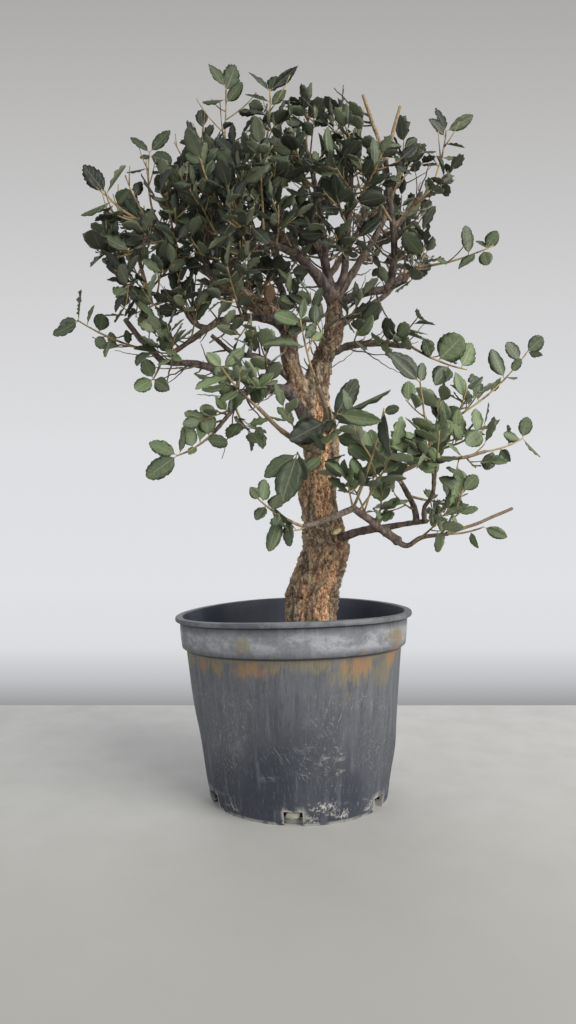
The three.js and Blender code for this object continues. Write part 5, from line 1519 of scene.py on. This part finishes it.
leafForms = {  # half widths along the blade, margin lift, rib groove, twist, tooth and wave
    "broad": [[0.012, 0.022, 0.14, 0.23, 0.29, 0.31, 0.29, 0.22, 0.14], 0.02, 0.014, 0.1, 0.04, 0.02],
    "oval": [[0.012, 0.022, 0.13, 0.21, 0.27, 0.28, 0.25, 0.17, 0.095], 0.06, 0.016, -0.25, 0.03, 0.03],
    "folded": [[0.012, 0.022, 0.12, 0.21, 0.26, 0.26, 0.22, 0.15, 0.08], 0.13, 0.01, 0.2, 0.035, 0.02],
    "rolled": [[0.012, 0.022, 0.14, 0.23, 0.28, 0.28, 0.25, 0.18, 0.1], -0.08, 0.004, -0.2, 0.02, 0.02],
    "narrow": [[0.012, 0.02, 0.09, 0.16, 0.21, 0.21, 0.17, 0.1, 0.045], 0.06, 0.012, 0.4, 0.04, 0.03],
    "toothed": [[0.012, 0.022, 0.14, 0.23, 0.29, 0.29, 0.26, 0.18, 0.1], 0.03, 0.014, 0.15, 0.08, 0.03],
    "wavy": [[0.012, 0.022, 0.14, 0.22, 0.27, 0.28, 0.25, 0.17, 0.095], 0.03, 0.01, -0.35, 0.045, 0.065],
    "round": [[0.012, 0.026, 0.18, 0.27, 0.32, 0.33, 0.31, 0.24, 0.155], -0.03, 0.012, 0.1, 0.04, 0.025],
}
leafLook = {
    "rows": [0, 0.11, 0.2, 0.3, 0.43, 0.57, 0.71, 0.85, 0.94, 1.0], "thickness": 0.018, "columns": 4,
    "nearParts": 2, "nearFrom": -60,     # leaves nearer to the front than this have twice the rows
    # colours from dark leaves to light ones; the tone between them is partly random and partly painted light
    # and shade by height
    "upper": [(0.014, 0.019, 0.015), (0.178, 0.238, 0.118)],
    "patch": [(0.045, 0.056, 0.038), (0.200, 0.262, 0.130)],
    "under": [(0.046, 0.052, 0.038), (0.25, 0.29, 0.18)],
    "rib": [(0.105, 0.110, 0.055), (0.32, 0.36, 0.17)],
    "withered": (0.21, 0.12, 0.065), "stalk": (0.32, 0.27, 0.13),
    "twig": [(0.085, 0.055, 0.036), (0.42, 0.32, 0.165)],
    "lowest": 370, "highest": 470,     # painted light: leaves are brighter below this height, painted shade: darker above
    # how light leaves come out: the value high up, and what is added low down
    "toneRange": (0.52, 0.4), "tonePower": (1.5, -0.7), "toneLeast": (0.0, 0.26),
    "witheredTone": 2.0, "seed": 700,
}


def leafMaterial():
    material, wires = newMaterial("oakLeaf")
    spot = wires.node("SeparateXYZ", {0: wires.node("UVMap", uv_map="UVMap").outputs[0]}).outputs
    across, along = spot[0], spot[1]
    below = wires.calc("GREATER_THAN", across, 1.25)
    off = wires.calc("ABSOLUTE", wires.calc("SUBTRACT", across, wires.scaled(below, 1.5, 0.5)))
    rib = wires.step(off, 0.045, 0.015)
    slant = wires.times(wires.calc("SUBTRACT", along, wires.times(off, 0.42)), 9.0)
    vein = wires.step(wires.calc("PINGPONG", slant, 0.5), 0.09, 0.02)
    tone = wires.attribute("leafToneAndShade")
    place = wires.stretched()
    wires.colour = wires.mix(tone, *leafLook["upper"])
    wires.coat(wires.blotches(place, 190, 0.42, 0.66), wires.mix(tone, *leafLook["patch"]), 0.5)
    wires.coat(below, wires.mix(tone, *leafLook["under"]))
    pale = wires.mix(tone, *leafLook["rib"])
    wires.coat(vein, pale, 0.38)
    wires.coat(rib, pale, 0.8)
    stalk = wires.times(rib, wires.step(along, 0.55, 0.15), 0.7)
    wires.coat(wires.most(wires.step(along, 0.15, 0.08), stalk), leafLook["stalk"])
    wires.coat(wires.calc("GREATER_THAN", tone, 1.5), leafLook["withered"])
    fine = wires.times(wires.grain(place, 900, 0.35), 0.25)
    relief = wires.calc("SUBTRACT", fine, wires.times(wires.most(vein, rib), 0.6))
    wires.close(wires.scaled(below, 0.35, 0.46), relief, 0.5, 0.0004)
    return material


def twigMaterial():
    material, wires = newMaterial("youngTwig")
    place = wires.stretched()
    wires.colour = wires.mix(wires.step(wires.noise(place, 70, 4, 0.6), 0.30, 0.60), *leafLook["twig"])
    wires.close(0.75, wires.grain(place, 1400, 0.5), 0.5, 0.0003)
    return material


def drawBlade(rows, halfWidths):  # a grid drawn in to the blade's width, row by row
    count = len(rows) - 1
    bpy.ops.mesh.primitive_grid_add(x_subdivisions=leafLook["columns"], y_subdivisions=count, size=1)
    startEditing(bpy.context.object)
    aside = 5     # finished rows wait above the others
    for i, along in enumerate(rows):
        start = i / count - 0.5
        half = max(halfWidths[i] if i < count else 0, 1e-5)
        selectPoints(lambda place: abs(place.y - start) < 0.01 and abs(place.z) < 0.01)
        bpy.ops.transform.resize(value=(half / 0.5, 1, 1), center_override=(0, start, 0))
        bpy.ops.transform.translate(value=(0, along - start, aside))
    bpy.ops.mesh.select_all(action="SELECT")
    bpy.ops.transform.translate(value=(0, 0, -aside))


def addUnderside(data):  # a second skin that meets the upper one along the margin
    bpy.ops.mesh.select_all(action="SELECT")
    bpy.ops.mesh.duplicate_move()
    bpy.ops.mesh.flip_normals()
    bpy.ops.transform.translate(value=(0, 0, -leafLook["thickness"]))
    mesh = bmesh.from_edit_mesh(data)
    layer = mesh.loops.layers.uv.verify()
    for face in mesh.faces:
        if face.normal.z < 0:
            for loop in face.loops:
                loop[layer].uv.x += 1.5
    for vertex in mesh.verts:
        if vertex.co.z < 0 and (vertex.is_boundary or abs(vertex.co.x) < 1e-4 and vertex.co.y > 0.99):
            vertex.co.z = 0
    bmesh.update_edit_mesh(data)


def modelLeaf(name, halfWidths, lift, groove, twist, tooth, wave, parts=1):
    # each row's stretch is cut into parts along a smooth margin
    margin = SmoothRoute([(row, half, 0) for row, half in zip(leafLook["rows"], halfWidths + [0.0])])
    count = parts * (len(leafLook["rows"]) - 1)
    stations = [margin.at(i / count) for i in range(count + 1)]
    rows, halfWidths = [place.x for place in stations], [place.y for place in stations]
    drawBlade(rows, halfWidths)
    leaf = bpy.context.object
    leaf.name = name + "Leaf"
    addUnderside(leaf.data)

    def moveBetween(low, high, rise):     # points of the row between two shares of its half width
        selectPoints(lambda place: abs(place.y - rows[i]) < 0.01 and low * half <= abs(place.x) < high * half)
        bpy.ops.transform.translate(value=(0, 0, rise * half / 0.3))

    for i in range(1, count):     # margins lift or roll and wave, the rib sinks
        half = halfWidths[i]
        ripple = wave * math.cos(math.pi * (i / parts - 1))
        moveBetween(0.75, 2, lift + ripple)
        moveBetween(0.3, 0.75, 0.35 * lift)
        moveBetween(0, 0.1, -groove)
    for i in range(3 * parts, count):     # teeth
        bite = (tooth / parts) * (1 if i % 2 else -1)
        edge = 0.98 * halfWidths[i]
        selectPoints(lambda place: abs(place.y - rows[i]) < 0.001 and abs(place.x) > edge)
        bpy.ops.transform.resize(value=(1 + 1.6 * bite, 1, 1), center_override=(0, rows[i], 0))
        bpy.ops.transform.translate(value=(0, 0.5 * bite, 0))
    bpy.ops.mesh.select_all(action="SELECT")
    bpy.ops.mesh.remove_doubles(threshold=1e-3)
    stopEditing()
    applyModifier(leaf, "SIMPLE_DEFORM", deform_method="TWIST", deform_axis="Y", angle=twist)
    bpy.ops.object.shade_smooth()
    leaf.data.materials.append(leafSkin)
    return leaf


def leafCopy(master, leaf, tone):
    copy = master.copy()
    copy.data = master.data.copy()
    points = pointsOf(copy.data)
    points[:, 2] -= leaf["droop"] * points[:, 1] ** 2
    long, wide = leaf["length"], leaf["width"]
    axes = np.array([leaf["side"] * wide, leaf["heading"] * long, leaf["face"] * long])
    setPoints(copy.data, (np.array(leaf["root"]) + points @ axes) * mm)
    setValues(copy.data, "leafToneAndShade", tone)
    bpy.context.collection.objects.link(copy)
    return copy


def twigStrand(twig):
    def station(place, share):
        bend = noise.noise_vector(place / 14) * 0.5 * math.sin(math.pi * share)
        radius = 0.86 * between(twig["radii"], share)
        return place + bend, radius * (1 + 0.22 * noise.noise(place / 4))

    return strandOn(twig["route"], max(4, round(twig["route"].length() / 5)), station)


leafSkin = leafMaterial()
twigSkin = twigMaterial()
masters = [modelLeaf(name, *form) for name, form in leafForms.items()]
nearMasters = [modelLeaf(name + "Near", *form, leafLook["nearParts"]) for name, form in leafForms.items()]
print("leaves:", len(masters), "forms of", len(masters[0].data.polygons), "and",
      len(nearMasters[0].data.polygons), "faces")


def makeSpray(number, twigs, leaves):
    stems = tubesFrom(f"stems{number:02d}", [twigStrand(twig) for twig in twigs], 1)
    stems.data.materials.append(twigSkin)
    draw = drawsFrom(leafLook["seed"] + number)
    lowest, highest = leafLook["lowest"], leafLook["highest"]
    tones = [leafLook[name] for name in ("toneRange", "tonePower", "toneLeast")]
    copies = []
    for leaf in leaves:
        # painted light on the low leaves, painted shade on the high ones
        low = float(ease(highest - leaf["root"].z, 0, highest - lowest))
        near = leaf["root"].y < leafLook["nearFrom"] or number in outlineLeaves
        form = (nearMasters if near else masters)[int(len(masters) * draw())]
        if "withered" in leaf:
            tone = leafLook["witheredTone"]
        else:
            spread, power, least = (high + more * low for high, more in tones)
            tone = leaf.get("tone", spread * draw() ** power + least)
        copies.append(leafCopy(form, leaf, tone))
    spray = joinPieces([stems, *copies])
    bpy.ops.object.shade_smooth()
    finishPiece(spray, f"leafySpray{number:02d}", f"spray_{number:02d}")


for i in range(len(sprays)):
    makeSpray(i + 1, twigSets[i] + extraSets[i], leafSets[i])
for master in masters + nearMasters:
    bpy.data.objects.remove(master)
print("sprays:", len(sprays), "made")
